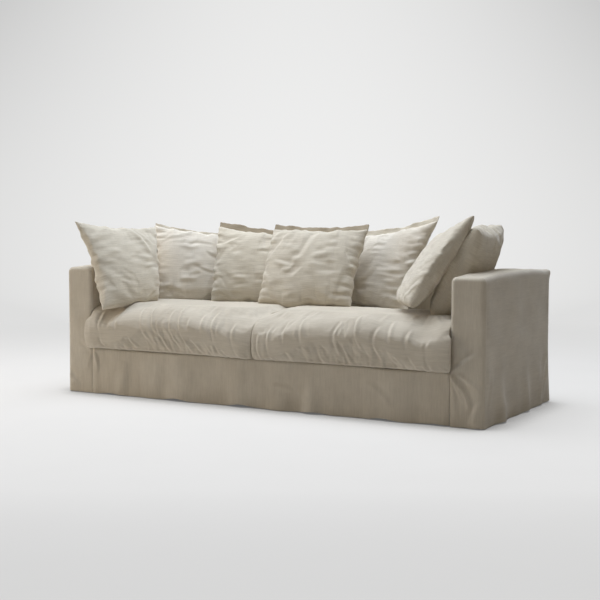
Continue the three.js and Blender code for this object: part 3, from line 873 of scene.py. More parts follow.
def corner_tip(
    points: Array, reach: float = 0.034, tip: tuple[float, float, float] = (0.011, 0.009, 0.006)
) -> Array:
    """Draws the cloth out to a small tip at the two upper rear corners, where the seams meet.

    Args:
        points: the cloth's points.
        reach: how far from the corner the tip starts.
        tip: how far it stands out in each direction.

    Returns:
        The points, moved.
    """
    moved = points.copy()
    for side in Side:
        corner = np.array([side.value * SOFA.half_width, SOFA.rear, SOFA.height])
        near = bell(np.linalg.norm(points - corner, axis=1), reach)[:, None]
        moved += near * np.array([side.value * tip[0], *tip[1:]])
    return moved


@dataclass(frozen=True)
class HemWave:
    """The hem's own folds, which stand out and lift the edge a little.

    Attributes:
        places: where along the panel each fold stands, from 0 to 1.
        reaches: how far each stands out, in metres.
        width: half a fold's width as a share of the panel.
        lift: how far the edge lifts at a fold, in metres.
    """

    places: tuple[float, ...]
    reaches: tuple[float, ...]
    width: float
    lift: float = 0.005

    def out(self, along: Array, low: Array) -> Array:
        """How far the cloth stands out.

        Args:
            along: each point's share along the panel.
            low: each point's nearness to the hem, from 0 to 1.

        Returns:
            The distance at each point.
        """
        return sum(reach * bell(along - place, self.width) for place, reach in zip(self.places, self.reaches)) * low**2

    def up(self, along: Array, low: Array) -> Array:
        """How far the cloth is lifted, from the same values as out."""
        return self.lift * self.out(along, np.ones(len(along))) / max(self.reaches) * low**4


@dataclass
class ArmCover:
    """The cloth over one arm: its inner face, its top and its outer face down to the floor.

    Attributes:
        side: the arm.
        palette: the finishes.
        columns: cells over the arm.
        rows: cells along it.
        width: the cloth's length over the arm, in metres.
        tuck: how far the cloth runs round the arm's two ends.
        wave: the hem's folds.
    """

    side: Side
    palette: Palette
    columns: int = 118
    rows: int = 84
    width: float = 1.3
    tuck: float = 0.006
    wave: HemWave = HemWave((0.22, 0.6, 0.84, 0.99), (0.018, 0.024, 0.018, 0.014), 0.05, 0.009)

    def path(self, filled: float) -> tuple[list[float], Array]:
        """The section of the arm as stations along the cloth.

        Args:
            filled: how far the inner shoulder is filled by the back's top, from 0 to 1.

        Returns:
            The stations' shares, and their places with outward directions.
        """
        steps = 7
        inner, outer = SOFA.shoulder * (1.0 - filled) + 0.001, SOFA.shoulder
        stations = [(SOFA.arm_inner, SOFA.deck - SOFA.cloth, -1.0, 0.0)]
        shoulders = ((SOFA.arm_inner + inner, inner, math.pi), (SOFA.half_width - outer, outer, QUARTER))
        for middle, radius, begin in shoulders:
            for angle in begin - np.linspace(0.0, QUARTER, steps):
                out_x, out_z = math.cos(angle), math.sin(angle)
                stations.append((middle + radius * out_x, SOFA.height - radius + radius * out_z, out_x, out_z))
        stations.append((SOFA.half_width, SOFA.hem, 1.0, 0.0))
        return [0.0, *np.linspace(0.27, 0.33, steps), *np.linspace(0.42, 0.48, steps), 1.0], np.array(stations)

    def build(self) -> Piece:
        """Makes the cloth.

        Returns:
            The piece.
        """
        sign, word = self.side.value, self.side.word
        length = SOFA.rear - SOFA.front - 2.0 * (SOFA.roll - self.tuck)
        weave = Weave(f"arm_slipcover_{word}", self.width, length, self.columns, self.rows)
        across, along = weave.across, weave.along
        y = SOFA.front + SOFA.roll - self.tuck + along * length
        filled = smooth_step(SOFA.back_inner - SOFA.fade, SOFA.back_inner + SOFA.fade, y)
        shares, open_path = self.path(0.0)
        full_path = self.path(1.0)[1]
        x, z, out_x, out_z = (
            np.interp(across, shares, plain) * (1.0 - filled) + np.interp(across, shares, closed) * filled
            for plain, closed in zip(open_path.T, full_path.T)
        )
        low = np.clip(1.0 - z / (SOFA.height * SOFA.hang), 0.0, 1.0) * (across > 0.45)
        out = self.unevenness(y, z, across, out_z) + self.wave.out(along, low)
        x = x + out * out_x
        z = z + out * out_z + top_lift(y) * smooth_step(SOFA.height - 2.0 * SOFA.shoulder, SOFA.height, z)
        z = z + self.wave.up(along, low)
        points = corner_tip(np.stack([sign * x, y, z], axis=1))
        inside = Vector((sign * 1.11, 0.0, 0.4))
        return weave.cover(points, inside, self.palette, f"cover_arm_{word}", Lay.HUNG, f"arm_foam_{word}")

    def unevenness(self, y: Array, z: Array, across: Array, out_z: Array) -> Array:
        """How far the cloth stands off its smooth shape.

        Args:
            y: place along the depth.
            z: height.
            across: share across the cloth.
            out_z: how much each point faces up.

        Returns:
            The distance at each point.
        """
        seed = 10 + self.side.value
        outside = smooth_step(0.44, 0.52, across)
        path = across * self.width
        folds = [
            Fold((0.30, 0.03), (0.44, 0.27), 0.02, 0.02, 0.007),
            Fold((0.36, 0.01), (0.455, 0.2), 0.015, 0.016, 0.006),
            Fold((0.43, 0.66), (0.40, 0.52), 0.0, 0.012, 0.004),
            Fold((0.455, 0.62), (0.445, 0.45), 0.0, 0.01, 0.004),
            Fold((-0.44, 0.03), (-0.38, 0.24), -0.01, 0.016, 0.004),
            Fold((-0.33, 0.30), (-0.12, 0.33), 0.004, 0.012, 0.0016),
            Fold((-0.38, 0.38), (-0.18, 0.36), 0.004, 0.01, 0.0014),
        ]
        stand = SOFA.stand + Ripples(seed, 0.3, height=0.003).at(y, path)
        stand += Ripples(seed + 5, 0.1, 2.0, 0.001).at(path, y)
        stand += Ripples(seed + 7, 0.2, 5.0, 0.0022).at(y, path) * np.clip(1.0 - z / 0.5, 0.0, 1.0)
        dimples = Ripples(seed + 9, 0.16).creases(y, path, 1.2) * 0.0018 * np.clip(out_z, 0.0, 1.0)
        stand = stand * (0.35 + 0.65 * outside) + folded(folds, y, z) * outside - dimples
        to_end = SOFA.rear - SOFA.roll - np.abs(y)
        return held_out(stand) * off_seam(to_end) - 0.0026 * smooth_step(0.001, -0.002, to_end)


def rolled(distance: Array, radius: float, roll: float) -> tuple[Array, Array]:
    """How far out and how far back a cloth lies after it runs over a rounded edge.

    Args:
        distance: the length of cloth from where the corner's radius begins.
        radius: the corner's radius in the panel's own plane.
        roll: the radius of the edge itself.

    Returns:
        The distances out and back.
    """
    flat = radius - roll
    angle = np.clip((distance - flat) / roll, 0.0, QUARTER)
    out = np.where(distance < flat, distance, flat + roll * np.sin(angle))
    return out, roll * (1.0 - np.cos(angle))


@dataclass
class EndPanel:
    """A flat panel whose upright and top edges roll over to meet the panels beside it.

    Attributes:
        name: the piece's name.
        node: the frame's node that it stands for.
        rests_on: what it lies on.
        palette: the finishes.
        centre: its middle, across the sofa.
        half: half its width.
        facing: -1 to the front or 1 to the rear.
        joined: the side on which it runs on into the front skirt below the deck, or 0.
        columns: cells across.
        rows: cells up.
        wave: the hem's folds.
        folds: folds in its own plane, from its middle and from the floor.
        seed: picks the unevenness.
    """

    name: str
    node: str
    rests_on: str
    palette: Palette
    centre: float
    half: float
    facing: int
    joined: int
    columns: int
    rows: int
    wave: HemWave
    folds: list[Fold]
    seed: int

    def build(self) -> Piece:
        """Makes the panel.

        Returns:
            The piece.
        """
        radius, roll = SOFA.shoulder, SOFA.roll
        flat_half, flat_top = self.half - radius, SOFA.height - radius
        run = radius - roll + roll * QUARTER
        half_cloth = flat_half + run
        height = flat_top + run - SOFA.hem
        weave = Weave(self.name, 2.0 * half_cloth, height, self.columns, self.rows)
        a = (2.0 * weave.across - 1.0) * half_cloth
        b = SOFA.hem + weave.along * height
        past_side = np.maximum(np.abs(a) - flat_half, 0.0)
        past_top = np.maximum(b - flat_top, 0.0)
        both = np.maximum(np.hypot(past_side, past_top), 1e-9)
        out, back = rolled(np.maximum(past_side, past_top), radius, roll)
        x = np.sign(a) * (np.minimum(np.abs(a), flat_half) + out * past_side / both)
        z = np.minimum(b, flat_top) + out * past_top / both
        if self.joined:
            flat_x = np.sign(a) * (np.minimum(np.abs(a), flat_half) + past_side / run * radius)
            inner = (np.sign(a) == self.joined) * (1.0 - smooth_step(SOFA.deck - 0.015, SOFA.deck + 0.03, b))
            x = x * (1.0 - inner) + flat_x * inner
            back = back * (1.0 - inner) + 0.004 * bell(self.half - np.abs(x), 0.006) * inner
        low = np.clip(1.0 - z / (SOFA.height * SOFA.hang), 0.0, 1.0)
        stand = Ripples(self.seed, 0.3, height=0.0018).at(x, z) + Ripples(self.seed + 3, 0.1, height=0.0005).at(x, z)
        stand += Ripples(self.seed + 6, 0.2, 5.0, 0.002).at(x, z) * low
        stand = (stand + SOFA.stand) * off_seam(self.half - np.abs(x)) + folded(self.folds, x, z)
        y = SOFA.rear - back + held_out(stand) * (1.0 - back / roll) + self.wave.out(weave.across, low)
        y *= self.facing
        z = z + self.wave.up(weave.across, low)
        z += top_lift(y) * smooth_step(SOFA.height - 2.0 * radius, SOFA.height, z)
        points = corner_tip(np.stack([self.centre + x, y, z], axis=1))
        inside = Vector((self.centre, 0.0, 0.4))
        return weave.cover(points, inside, self.palette, self.node, Lay.HUNG, self.rests_on)


def arm_front(side: Side, palette: Palette) -> EndPanel:
    """The panel on an arm's front end, pulled in folds towards the corner of the seat.

    Args:
        side: the arm.
        palette: the finishes.

    Returns:
        The panel.
    """
    half = (SOFA.half_width - SOFA.arm_inner) / 2.0
    inner = -side.value
    joint_x, joint_z = inner * (half - 0.002), SOFA.deck - 0.01

    def ray(across: float, down: float, bend: float, width: float, height: float) -> Fold:
        """A fold that starts at the seat's corner."""
        end = (joint_x - inner * across, joint_z - down)
        return Fold((joint_x, joint_z), end, bend * side.value, width, height, 0.8)

    rays = {
        Side.RIGHT: [
            ray(0.098, 0.15, 0.012, 0.011, 0.016),
            ray(0.065, 0.125, 0.004, 0.009, 0.008),
            ray(0.15, 0.075, 0.016, 0.012, 0.009),
            ray(0.13, -0.095, 0.004, 0.012, 0.008),
            ray(0.03, 0.19, 0.002, 0.012, 0.004),
            Fold((0.03, 0.02), (0.062, 0.12), 0.004, 0.014, 0.008, 0.6),
        ],
        Side.LEFT: [
            ray(0.075, -0.05, 0.004, 0.011, 0.0045),
            ray(0.08, -0.005, 0.006, 0.012, 0.0035),
            ray(0.035, 0.1, 0.0, 0.012, 0.0025),
            Fold((-0.07, 0.11), (-0.02, 0.06), -0.012, 0.013, 0.006, 0.8),
            Fold((-0.075, 0.05), (0.0, 0.035), 0.008, 0.012, 0.004, 0.8),
        ],
    }
    return EndPanel(
        name=f"arm_front_{side.word}",
        node=f"cover_arm_front_{side.word}",
        rests_on=f"arm_foam_{side.word}",
        palette=palette,
        centre=side.value * (SOFA.arm_inner + half),
        half=half,
        facing=-1,
        joined=inner,
        columns=36,
        rows=96,
        wave=HemWave((0.5 + 0.3 * side.value,), (0.006,), 0.25, 0.002),
        folds=rays[side],
        seed=40 + side.value,
    )


def rear_panel(palette: Palette) -> EndPanel:
    """The panel over the whole back of the sofa.

    Args:
        palette: the finishes.

    Returns:
        The panel.
    """
    return EndPanel(
        name="rear_slipcover",
        node="cover_rear_panel",
        rests_on="back_foam",
        palette=palette,
        centre=0.0,
        half=SOFA.half_width,
        facing=1,
        joined=0,
        columns=200,
        rows=84,
        wave=HemWave((0.1, 0.27, 0.45, 0.62, 0.8, 0.93), (0.012, 0.014, 0.01, 0.014, 0.011, 0.013), 0.05),
        folds=[
            Fold((-1.1, 0.62), (-0.95, 0.5), 0.01, 0.014, 0.003),
            Fold((1.1, 0.62), (0.97, 0.48), -0.01, 0.014, 0.003),
        ],
        seed=60,
    )


@dataclass
class FrontSkirt:
    """The cloth under the seat cushions, from the deck's edge down to the floor.

    Attributes:
        palette: the finishes.
        columns: cells across.
        rows: cells up.
        roll: the radius of its upper edge.
        wave: the hem's folds.
    """

    palette: Palette
    columns: int = 230
    rows: int = 34
    roll: float = 0.012
    wave: HemWave = HemWave(
        (0.06, 0.27, 0.46, 0.66, 0.84, 0.97), (0.006, 0.011, 0.012, 0.009, 0.009, 0.006), 0.03, 0.013
    )

    def folds(self, half: float) -> list[Fold]:
        """The folds below the seat's corners and the broad ones between.

        Args:
            half: half the skirt's width.

        Returns:
            The folds.
        """
        made = [
            Fold((side.value * (half - 0.01), SOFA.deck - 0.01), (side.value * (half - 0.05), 0.13), 0.0, 0.01, 0.003)
            for side in Side
        ]
        made.append(Fold((-half + 0.012, SOFA.deck - 0.02), (-half + 0.03, 0.11), 0.012, 0.009, 0.0055, 0.9))
        made.append(Fold((-half + 0.07, SOFA.deck - 0.015), (-half + 0.05, 0.15), 0.01, 0.012, 0.004))
        broad = ((-0.83, 0.01, 0.004), (-0.6, -0.01, 0.0035), (-0.42, 0.012, 0.004), (0.28, 0.01, 0.003))
        made += [Fold((at + 0.01, 0.19), (at - 0.015, 0.02), bend, 0.03, rise, 0.5) for at, bend, rise in broad]
        made.append(Fold((0.1, 0.12), (0.3, 0.06), 0.02, 0.012, 0.003, 0.8))
        made.append(Fold((0.62, 0.17), (0.75, 0.06), 0.01, 0.014, 0.003, 0.8))
        return made

    def build(self) -> Piece:
        """Makes the skirt.

        Returns:
            The piece.
        """
        half = SOFA.arm_inner - SOFA.gap
        flat = SOFA.deck - self.roll
        height = flat - SOFA.hem + self.roll * QUARTER
        weave = Weave("front_skirt", 2.0 * half, height, self.columns, self.rows)
        x = (2.0 * weave.across - 1.0) * half
        run = SOFA.hem + weave.along * height
        angle = np.clip((run - flat) / self.roll, 0.0, QUARTER)
        z = np.minimum(run, flat) + self.roll * np.sin(angle)
        low = np.clip(1.0 - z / SOFA.deck, 0.0, 1.0)
        to_seam = half - np.abs(x)
        stand = Ripples(71, 0.3, 2.5, 0.0032).at(x, z) + Ripples(73, 0.12, 2.0, 0.0012).at(x, z)
        stand += Ripples(75, 0.17, 5.0, 0.0045).at(x, z) * (0.2 + 0.8 * low)
        stand = (stand + SOFA.stand) * off_seam(to_seam) + folded(self.folds(half), x, z)
        stand -= 0.003 * bell(to_seam, 0.006)
        stand = held_out(stand) * np.cos(angle) + self.wave.out(weave.across, low) * off_seam(to_seam)
        y = SOFA.front + self.roll * (1.0 - np.cos(angle)) - stand
        z = z + self.wave.up(weave.across, low)
        points, inside = np.stack([x, y, z], axis=1), Vector((0.0, 0.4, 0.1))
        return weave.cover(points, inside, self.palette, "cover_front_skirt", Lay.HUNG, "front_rail_foam")


@dataclass
class BackCover:
    """The cloth over the inner face and the top of the back, between the arms.

    Attributes:
        palette: the finishes.
        columns: cells across.
        rows: cells up and over.
        beside_arm: how far from an arm the top rises to meet it.
    """

    palette: Palette
    columns: int = 150
    rows: int = 60
    beside_arm: float = 0.07

    def build(self) -> Piece:
        """Makes the cloth.

        Returns:
            The piece.
        """
        half, radius = SOFA.arm_inner - SOFA.gap, SOFA.shoulder
        face = SOFA.height - radius - (SOFA.deck - SOFA.cloth)
        bend = radius * QUARTER
        length = face + bend + SOFA.rear - SOFA.roll - (SOFA.back_inner + radius)
        weave = Weave("back_slipcover", 2.0 * half, length, self.columns, self.rows)
        x = (2.0 * weave.across - 1.0) * half
        run = weave.along * length
        angle = np.clip((run - face) / radius, 0.0, QUARTER)
        stand = Ripples(81, 0.25, height=0.0015).at(x, run) + Ripples(82, 0.09, height=0.0005).at(x, run)
        stand *= off_seam(half - np.abs(x)) * off_seam(length - run)
        past = np.maximum(run - face - bend, 0.0)
        y = SOFA.back_inner + radius * (1.0 - np.cos(angle)) + past - stand * np.cos(angle)
        z = SOFA.deck - SOFA.cloth + np.minimum(run, face) + (radius + stand) * np.sin(angle)
        z += np.sin(angle) * bell(half - np.abs(x), self.beside_arm) * top_lift(y)
        points, inside = np.stack([x, y, z], axis=1), Vector((0.0, 0.45, 0.3))
        return weave.cover(points, inside, self.palette, "cover_back", Lay.STRETCHED, "back_foam")


@dataclass
class DeckCover:
    """The flat cloth that the seat cushions lie on.

    Attributes:
        palette: the finishes.
        columns: cells across.
        rows: cells along the depth.
        sunk: how far the cloth sinks between its wires, on average and at most.
    """

    palette: Palette
    columns: int = 120
    rows: int = 44
    sunk: tuple[float, float] = (0.0012, 0.003)

    def build(self) -> Piece:
        """Makes the cloth.

        Returns:
            The piece.
        """
        half = SOFA.arm_inner - SOFA.gap
        front = SOFA.front + FrontSkirt.roll
        length = SOFA.back_inner - SOFA.gap - front
        weave = Weave("deck_slipcover", 2.0 * half, length, self.columns, self.rows)
        x = (2.0 * weave.across - 1.0) * half
        y = front + weave.along * length
        sunk = self.sunk[0] * (1.0 + Ripples(91, 0.14).at(x, y) / 3.0)
        z = SOFA.deck - np.clip(sunk, 0.0, self.sunk[1]) * smooth_step(0.0, 0.02, y - front)
        points, inside = np.stack([x, y, z], axis=1), Vector((0.0, 0.0, 0.0))
        return weave.cover(points, inside, self.palette, "cover_deck", Lay.LAID, "deck_pad")


# Seat cushions


@dataclass
class SeatCushion:
    """One large loose seat cushion with a soft nose and a gathered lower seam.

    Attributes:
        side: the side that it lies on.
        palette: the finishes.
        cells: cells across, along the depth and up.
        thickness: its thickness.
        nose: how far it reaches in front of the deck.
        gap: the gap to arms, back, deck and the other cushion.
        spread: how far its nose spreads in front of the arm.
        drawn: how far its ends are drawn in along the depth, as a share of it.
        sag: how much lower its ends are, as a share of its thickness.
        rise: how far its front corner rises beside the arm.
    """

    side: Side
    palette: Palette
    cells: tuple[int, int, int] = (136, 70, 26)
    thickness: float = 0.242
    nose: float = 0.045
    gap: float = 0.0015
    spread: float = 0.02
    drawn: float = 0.012
    sag: float = 0.06
    rise: float = 0.02

    @property
    def depth(self) -> float:
        """The cushion's size from its nose to its rear."""
        return self.nose + SOFA.back_inner - SOFA.front - self.gap

    def section(self) -> tuple[Outline, float, float]:
        """The cushion's section from its front lower seam over the top to its rear lower seam.

        Returns:
            The line, and the shares of its length where the front ends and where the rear starts.
        """
        front_end, rear_start = (0.03, 0.7), (0.95, 0.69)
        shares = [(0.03, 0.0), (0.008, 0.06), (0.0, 0.25), (0.004, 0.48), front_end, (0.085, 0.87), (0.19, 0.965)]
        shares += [(0.33, 1.0), (0.5, 0.975), (0.68, 0.9), (0.85, 0.79), rear_start, (0.99, 0.5), (1.0, 0.25)]
        shares.append((0.985, 0.0))
        line = Outline([(y * self.depth, z * self.thickness) for y, z in shares])
        return line, self.share_at(line, *front_end), self.share_at(line, *rear_start)

    def share_at(self, line: Outline, depth: float, height: float) -> float:
        """The share of the section's length nearest a place on it."""
        place = np.array([depth * self.depth, height * self.thickness])
        return float(line.along[np.argmin(np.hypot(*(line.line - place).T))])

    def box(self) -> tuple[BMesh, Array]:
        """A box cut into even cells.

        Returns:
            The mesh and its points, each from -1 to 1 in all directions.
        """
        mesh = bmesh.new()
        bmesh.ops.create_cube(mesh, size=2.0)
        for axis, cells in enumerate(self.cells):
            edges = [edge for edge in mesh.edges if abs((edge.verts[0].co - edge.verts[1].co)[axis]) > TOUCH]
            bmesh.ops.subdivide_edges(mesh, edges=edges, cuts=cells - 1, use_grid_fill=True)
        mesh.verts.index_update()
        return mesh, np.array([vert.co[:] for vert in mesh.verts])

    def laid_out(self, cube: Array) -> tuple[Array, Array]:
        """Where each point of the box lies on the cushion before its cloth swells.

        Args:
            cube: the box's points.

        Returns:
            The cushion's points, and how far along the section each lies, in metres.
        """
        sign = self.side.value
        width = SOFA.arm_inner - 1.5 * self.gap
        middle = sign * (self.gap / 2.0 + width / 2.0)
        line, front_end, rear_start = self.section()
        across, run, rise = cube[:, 0], (cube[:, 1] + 1.0) / 2.0, (cube[:, 2] + 1.0) / 2.0
        front, rear, top = (
            np.stack(line.at(share), axis=1)
            for share in (
                rise * front_end,
                1.0 - rise * (1.0 - rear_start),
                front_end + run * (rear_start - front_end),
            )
        )
        high_front, high_rear = (np.array(line.at(share)) for share in (front_end, rear_start))
        b, c = run[:, None], rise[:, None]
        low = line.line[0] * (1.0 - b) + line.line[-1] * b
        corners = (1.0 - c) * low + c * (high_front * (1.0 - b) + high_rear * b)
        section = (1.0 - b) * front + b * rear + (1.0 - c) * low + c * top - corners
        end = np.abs(across)
        depth_share = section[:, 0] / self.depth
        draw = self.depth * self.drawn * end**8
        y = SOFA.front - self.nose + draw * (1.0 - depth_share) + section[:, 0] * (1.0 - draw / self.depth)
        z = SOFA.deck + self.gap + section[:, 1] * (1.0 - self.sag * end**4)
        beside_arm = smooth_step(0.3, 0.0, SOFA.arm_inner - across * sign * width) * rise
        z += self.rise * beside_arm * smooth_step(-0.1, -0.45, y)
        past_arm = smooth_step(SOFA.front - 0.006, SOFA.front - 0.024, y)
        outer = np.clip(across * sign, 0.0, 1.0)
        x = middle + across * width / 2.0 + sign * self.spread * outer**10 * past_arm
        on_front, on_rear = cube[:, 1] < TOUCH - 1.0, cube[:, 1] > 1.0 - TOUCH
        share = np.where(on_front, rise * front_end, front_end + run * (rear_start - front_end))
        share = np.where(on_rear, 1.0 - rise * (1.0 - rear_start), share)
        return np.stack([x, y, z], axis=1), share * line.length

    def build(self) -> Piece:
        """Makes the cushion.

        Returns:
            The piece.
        """
        mesh, cube = self.box()
        start, path = self.laid_out(cube)
        lay_out(mesh, start)
        smooth_faces(mesh)
        mesh.verts.ensure_lookup_table()
        rounded = [mesh.verts[int(i)] for i in np.nonzero(cube[:, 2] > -0.95)[0]]
        for _ in range(7):
            bmesh.ops.smooth_vert(mesh, verts=rounded, factor=0.5, use_axis_x=True, use_axis_y=True, use_axis_z=True)
        self.map_cloth(mesh, cube, start, path)
        bmesh.ops.recalc_face_normals(mesh, faces=mesh.faces[:])
        piece = as_object(f"seat_cushion_{self.side.word}", mesh)
        held = np.where(cube[:, 2] < -0.985, 1.0, np.where(cube[:, 1] > 0.985, 0.6, 0.0))
        swelling = Swelling(
            frames=11, pressure=1.4, growth=0.035, bending=0.3, stiffness=20.0, quality=3, most=0.02
        )
        swelling.run(piece, held)
        self.crease(piece, cube, path)
        self.keep_inside(piece)
        smoothed(piece)
        self.palette.dress(piece, "seat")
        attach(piece, f"seat_cushion_{self.side.word}")
        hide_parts(f"seat_cushion_cover_{self.side.word}")
        return piece

    def map_cloth(self, mesh: BMesh, cube: Array, points: Array, path: Array) -> None:
        """Gives the cushion its cloth map, in metres, with the weave running over the nose.

        Args:
            mesh: the cushion.
            cube: the box's points.
            points: the cushion's points.
            path: how far along the section each point lies.
        """
        cloth = mesh.loops.layers.uv.new("cloth")
        x, y, z = points.T
        on_end, on_bottom, over = (np.stack(pair, axis=1) for pair in ((y, z), (x, y), (x, path)))
        for face in mesh.faces:
            corners = [loop.vert.index for loop in face.loops]
            middle = cube[corners].mean(axis=0)
            flat = on_end if abs(middle[0]) > 1.0 - TOUCH else on_bottom if middle[2] < TOUCH - 1.0 else over
            for loop, index in zip(face.loops, corners):
                loop[cloth].uv = flat[index]

    def folds(self) -> list[Fold]:
        """The folds over the nose, from the lower seam up, in metres across the sofa and along the section.

        Returns:
            The folds: those that the photograph shows, short ones along the seam, and soft ones on top.
        """
        seen = {
            Side.LEFT: [
                (-0.85, 0.0, -0.93, 0.11), (-0.69, 0.02, -0.74, 0.10), (-0.79, 0.05, -0.83, 0.32),
                (-0.55, 0.09, -0.625, 0.32), (-0.345, 0.0, -0.45, 0.31), (-0.42, 0.02, -0.49, 0.26),
                (-0.215, 0.0, -0.30, 0.26), (-0.105, 0.0, -0.20, 0.21), (-0.28, 0.0, -0.37, 0.21),
                (-0.05, 0.02, -0.10, 0.22), (-0.61, 0.04, -0.70, 0.34), (-0.48, 0.0, -0.56, 0.18),
                (-0.15, 0.0, -0.24, 0.29), (-0.9, 0.08, -0.95, 0.25),
            ],
            Side.RIGHT: [
                (0.50, 0.04, 0.494, 0.23), (0.625, 0.07, 0.579, 0.29), (0.715, 0.04, 0.70, 0.21),
                (0.423, 0.0, 0.39, 0.10), (0.994, 0.0, 0.955, 0.17), (0.24, 0.02, 0.20, 0.25),
                (0.34, 0.02, 0.28, 0.31), (0.82, 0.02, 0.75, 0.28), (0.9, 0.02, 0.85, 0.22),
                (0.09, 0.0, 0.05, 0.16), (0.15, 0.0, 0.11, 0.21), (0.56, 0.0, 0.53, 0.14),
            ],
        }
        draw = np.random.default_rng(500 + self.side.value).uniform
        made = []
        for x0, low, x1, high in seen[self.side]:
            height = draw(0.006, 0.009)
            made.append(Fold((x0, low), (x1, high), 0.02, draw(0.0075, 0.0095), height, 1.0))
        short = 24
        for i in range(short):
            place = self.side.value * (0.03 + (i + draw(0.1, 0.9)) * 0.97 / short)
            low = draw(0.0, 0.1)
            end = (place - draw(0.0, 0.06), low + draw(0.05, 0.16))
            made.append(Fold((place, low), end, 0.01, draw(0.006, 0.009), draw(0.0015, 0.004), 0.9))
        for _ in range(10):
            place = self.side.value * draw(0.08, 0.95)
            low = draw(0.2, 0.3)
            end = (place + draw(-0.03, 0.05), low + draw(0.08, 0.16))
            made.append(Fold((place, low), end, 0.01, draw(0.008, 0.014), draw(0.001, 0.003), 0.9))
        return made

    def crease(self, piece: Piece, cube: Array, path: Array) -> None:
        """Presses the folds into the cloth and gathers the lower seam.

        Args:
            piece: the cushion.
            cube: the box's points.
            path: how far along the section each point lies.
        """
        points, normals = read_points(piece), read_normals(piece)
        x, seed = points[:, 0], 530 + self.side.value
        upper, on_front = cube[:, 2] > TOUCH - 1.0, cube[:, 1] < TOUCH - 1.0
        near_front = upper * smooth_step(0.55, 0.4, path) * smooth_step(1.0, 0.97, np.abs(cube[:, 0]))
        lift = folded(self.folds(), x, path) * near_front
        lift += Ripples(seed, 0.022, 8.0, 0.0013).at(x, path) * smooth_step(0.06, 0.0, path) * on_front
        lift += 0.004 * bell(path, 0.008) * on_front * upper
        lift += Ripples(seed + 10, 0.2, height=0.002).at(x, path) * upper
        write_points(piece, points + normals * lift[:, None])

    def keep_inside(self, piece: Piece) -> None:
        """Keeps the cushion clear of the arms, the back, the deck and the other cushion.

        Args:
            piece: the cushion.
        """
        low, high = (np.array(corner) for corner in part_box(f"seat_cushion_cover_{self.side.word}"))
        points = read_points(piece)
        ahead = smooth_step(SOFA.front - 0.01, SOFA.front - 0.024, points[:, 1]) * self.spread
        left, right = ahead * (self.side is Side.LEFT), ahead * (self.side is Side.RIGHT)
        points[:, 0] = np.clip(points[:, 0], low[0] + 0.0002 - left, high[0] - 0.0002 + right)
        points[:, 1:] = np.clip(points[:, 1:], low[1:] - (0.012, 0.0), high[1:] + (0.0, 0.002))
        write_points(piece, points)


# Pillows


@dataclass(frozen=True)
class PillowForm:
    """Where one pillow stands, how it lies and how its filling has settled.

    Attributes:
        number: its number.
        foot: the middle of its lower edge.
        turn: degrees that it faces to the left.
        lean: degrees that it leans back.
        roll: degrees that it tips to its left.
        corners: its corners in its own plane: lower left, lower right, upper left, upper right.
        pulls: how far the filling draws in its left, right and top edges, in metres.
        full: half its greatest thickness.
        rear_share: how full its rear is beside its front.
        dip: where its lower edge hangs down, as a share across, and how far.
        bend: how far back its top and its bottom stand, in metres.
        roundness: how slowly it swells from its seam, from 0 for at once.
        linen: the finish of its case; the pale finish is a lighter copy of the pillow linen with painted light, and
            the deep finish a darker copy with painted shade.
        pucker: how strongly its side seams pucker.
        lip: the height of the flat lip above its top seam, and the finish of that lip; the lip finish is a dark linen
            whose darkness is painted shade.
        front: folds in its front.
        rear: folds in its rear.
        ruffle: how strongly the cloth is gathered along its top seam.
    """

    number: int
    foot: tuple[float, float, float]
    turn: float
    lean: float
    roll: float
    corners: tuple[tuple[float, float], ...]
    pulls: tuple[float, float, float]
    full: float = 0.08
    rear_share: float = 1.0
    dip: tuple[float, float] = (0.0, 0.0)
    bend: tuple[float, float] = (0.0, 0.0)
    roundness: float = 0.45
    linen: str = "pillow"
    pucker: float = 1.0
    lip: tuple[float, str] = (0.0, "pillow")
    front: tuple[Fold, ...] = ()
    rear: tuple[Fold, ...] = ()
    ruffle: float = 0.0

    @property
    def body(self) -> str:
        """The name of its body in the frame."""
        return f"pillow_{self.number}"

    @property
    def seed(self) -> int:
        """Picks its own unevenness."""
        return 700 + 10 * self.number

    def matrix(self) -> Matrix:
        """The turn and the place of its own axes in the sofa's frame."""
        turn = Matrix.Rotation(math.radians(-self.turn), 4, "Z")
        lean = Matrix.Rotation(math.radians(-self.lean), 4, "X")
        roll = Matrix.Rotation(math.radians(self.roll), 4, "Y")
        return Matrix.Translation(self.foot) @ turn @ lean @ roll

    def plane(self, across: Array, up: Array) -> Array:
        """The seam's own plane: where a share across and up lies on it.

        Args:
            across: shares across, from -1 to 1.
            up: shares up, from -1 to 1.

        Returns:
            The two coordinates in the pillow's plane, in metres.
        """
        left, right, top = self.pulls
        s, t = (across + 1.0) / 2.0, (up + 1.0) / 2.0
        weights = np.stack([(1 - s) * (1 - t), s * (1 - t), (1 - s) * t, s * t], axis=1)
        places = weights @ np.array(self.corners)
        bow = np.clip(1.0 - up**2, 0.0, 1.0)
        places[:, 0] += bow * (left * np.clip(-across, 0.0, 1.0) - right * np.clip(across, 0.0, 1.0))
        places[:, 1] -= top * t**2 * np.clip(1.0 - across**2, 0.0, 1.0)
        place, depth = self.dip
        places[:, 1] -= depth * (1.0 - t) ** 2 * bell(across - place, 0.35)
        return places

    def in_sofa(self, points: Array) -> Array:
        """Takes points from the pillow's own axes to the sofa's frame."""
        place = np.array(self.matrix())
        return points @ place[:3, :3].T + place[:3, 3]


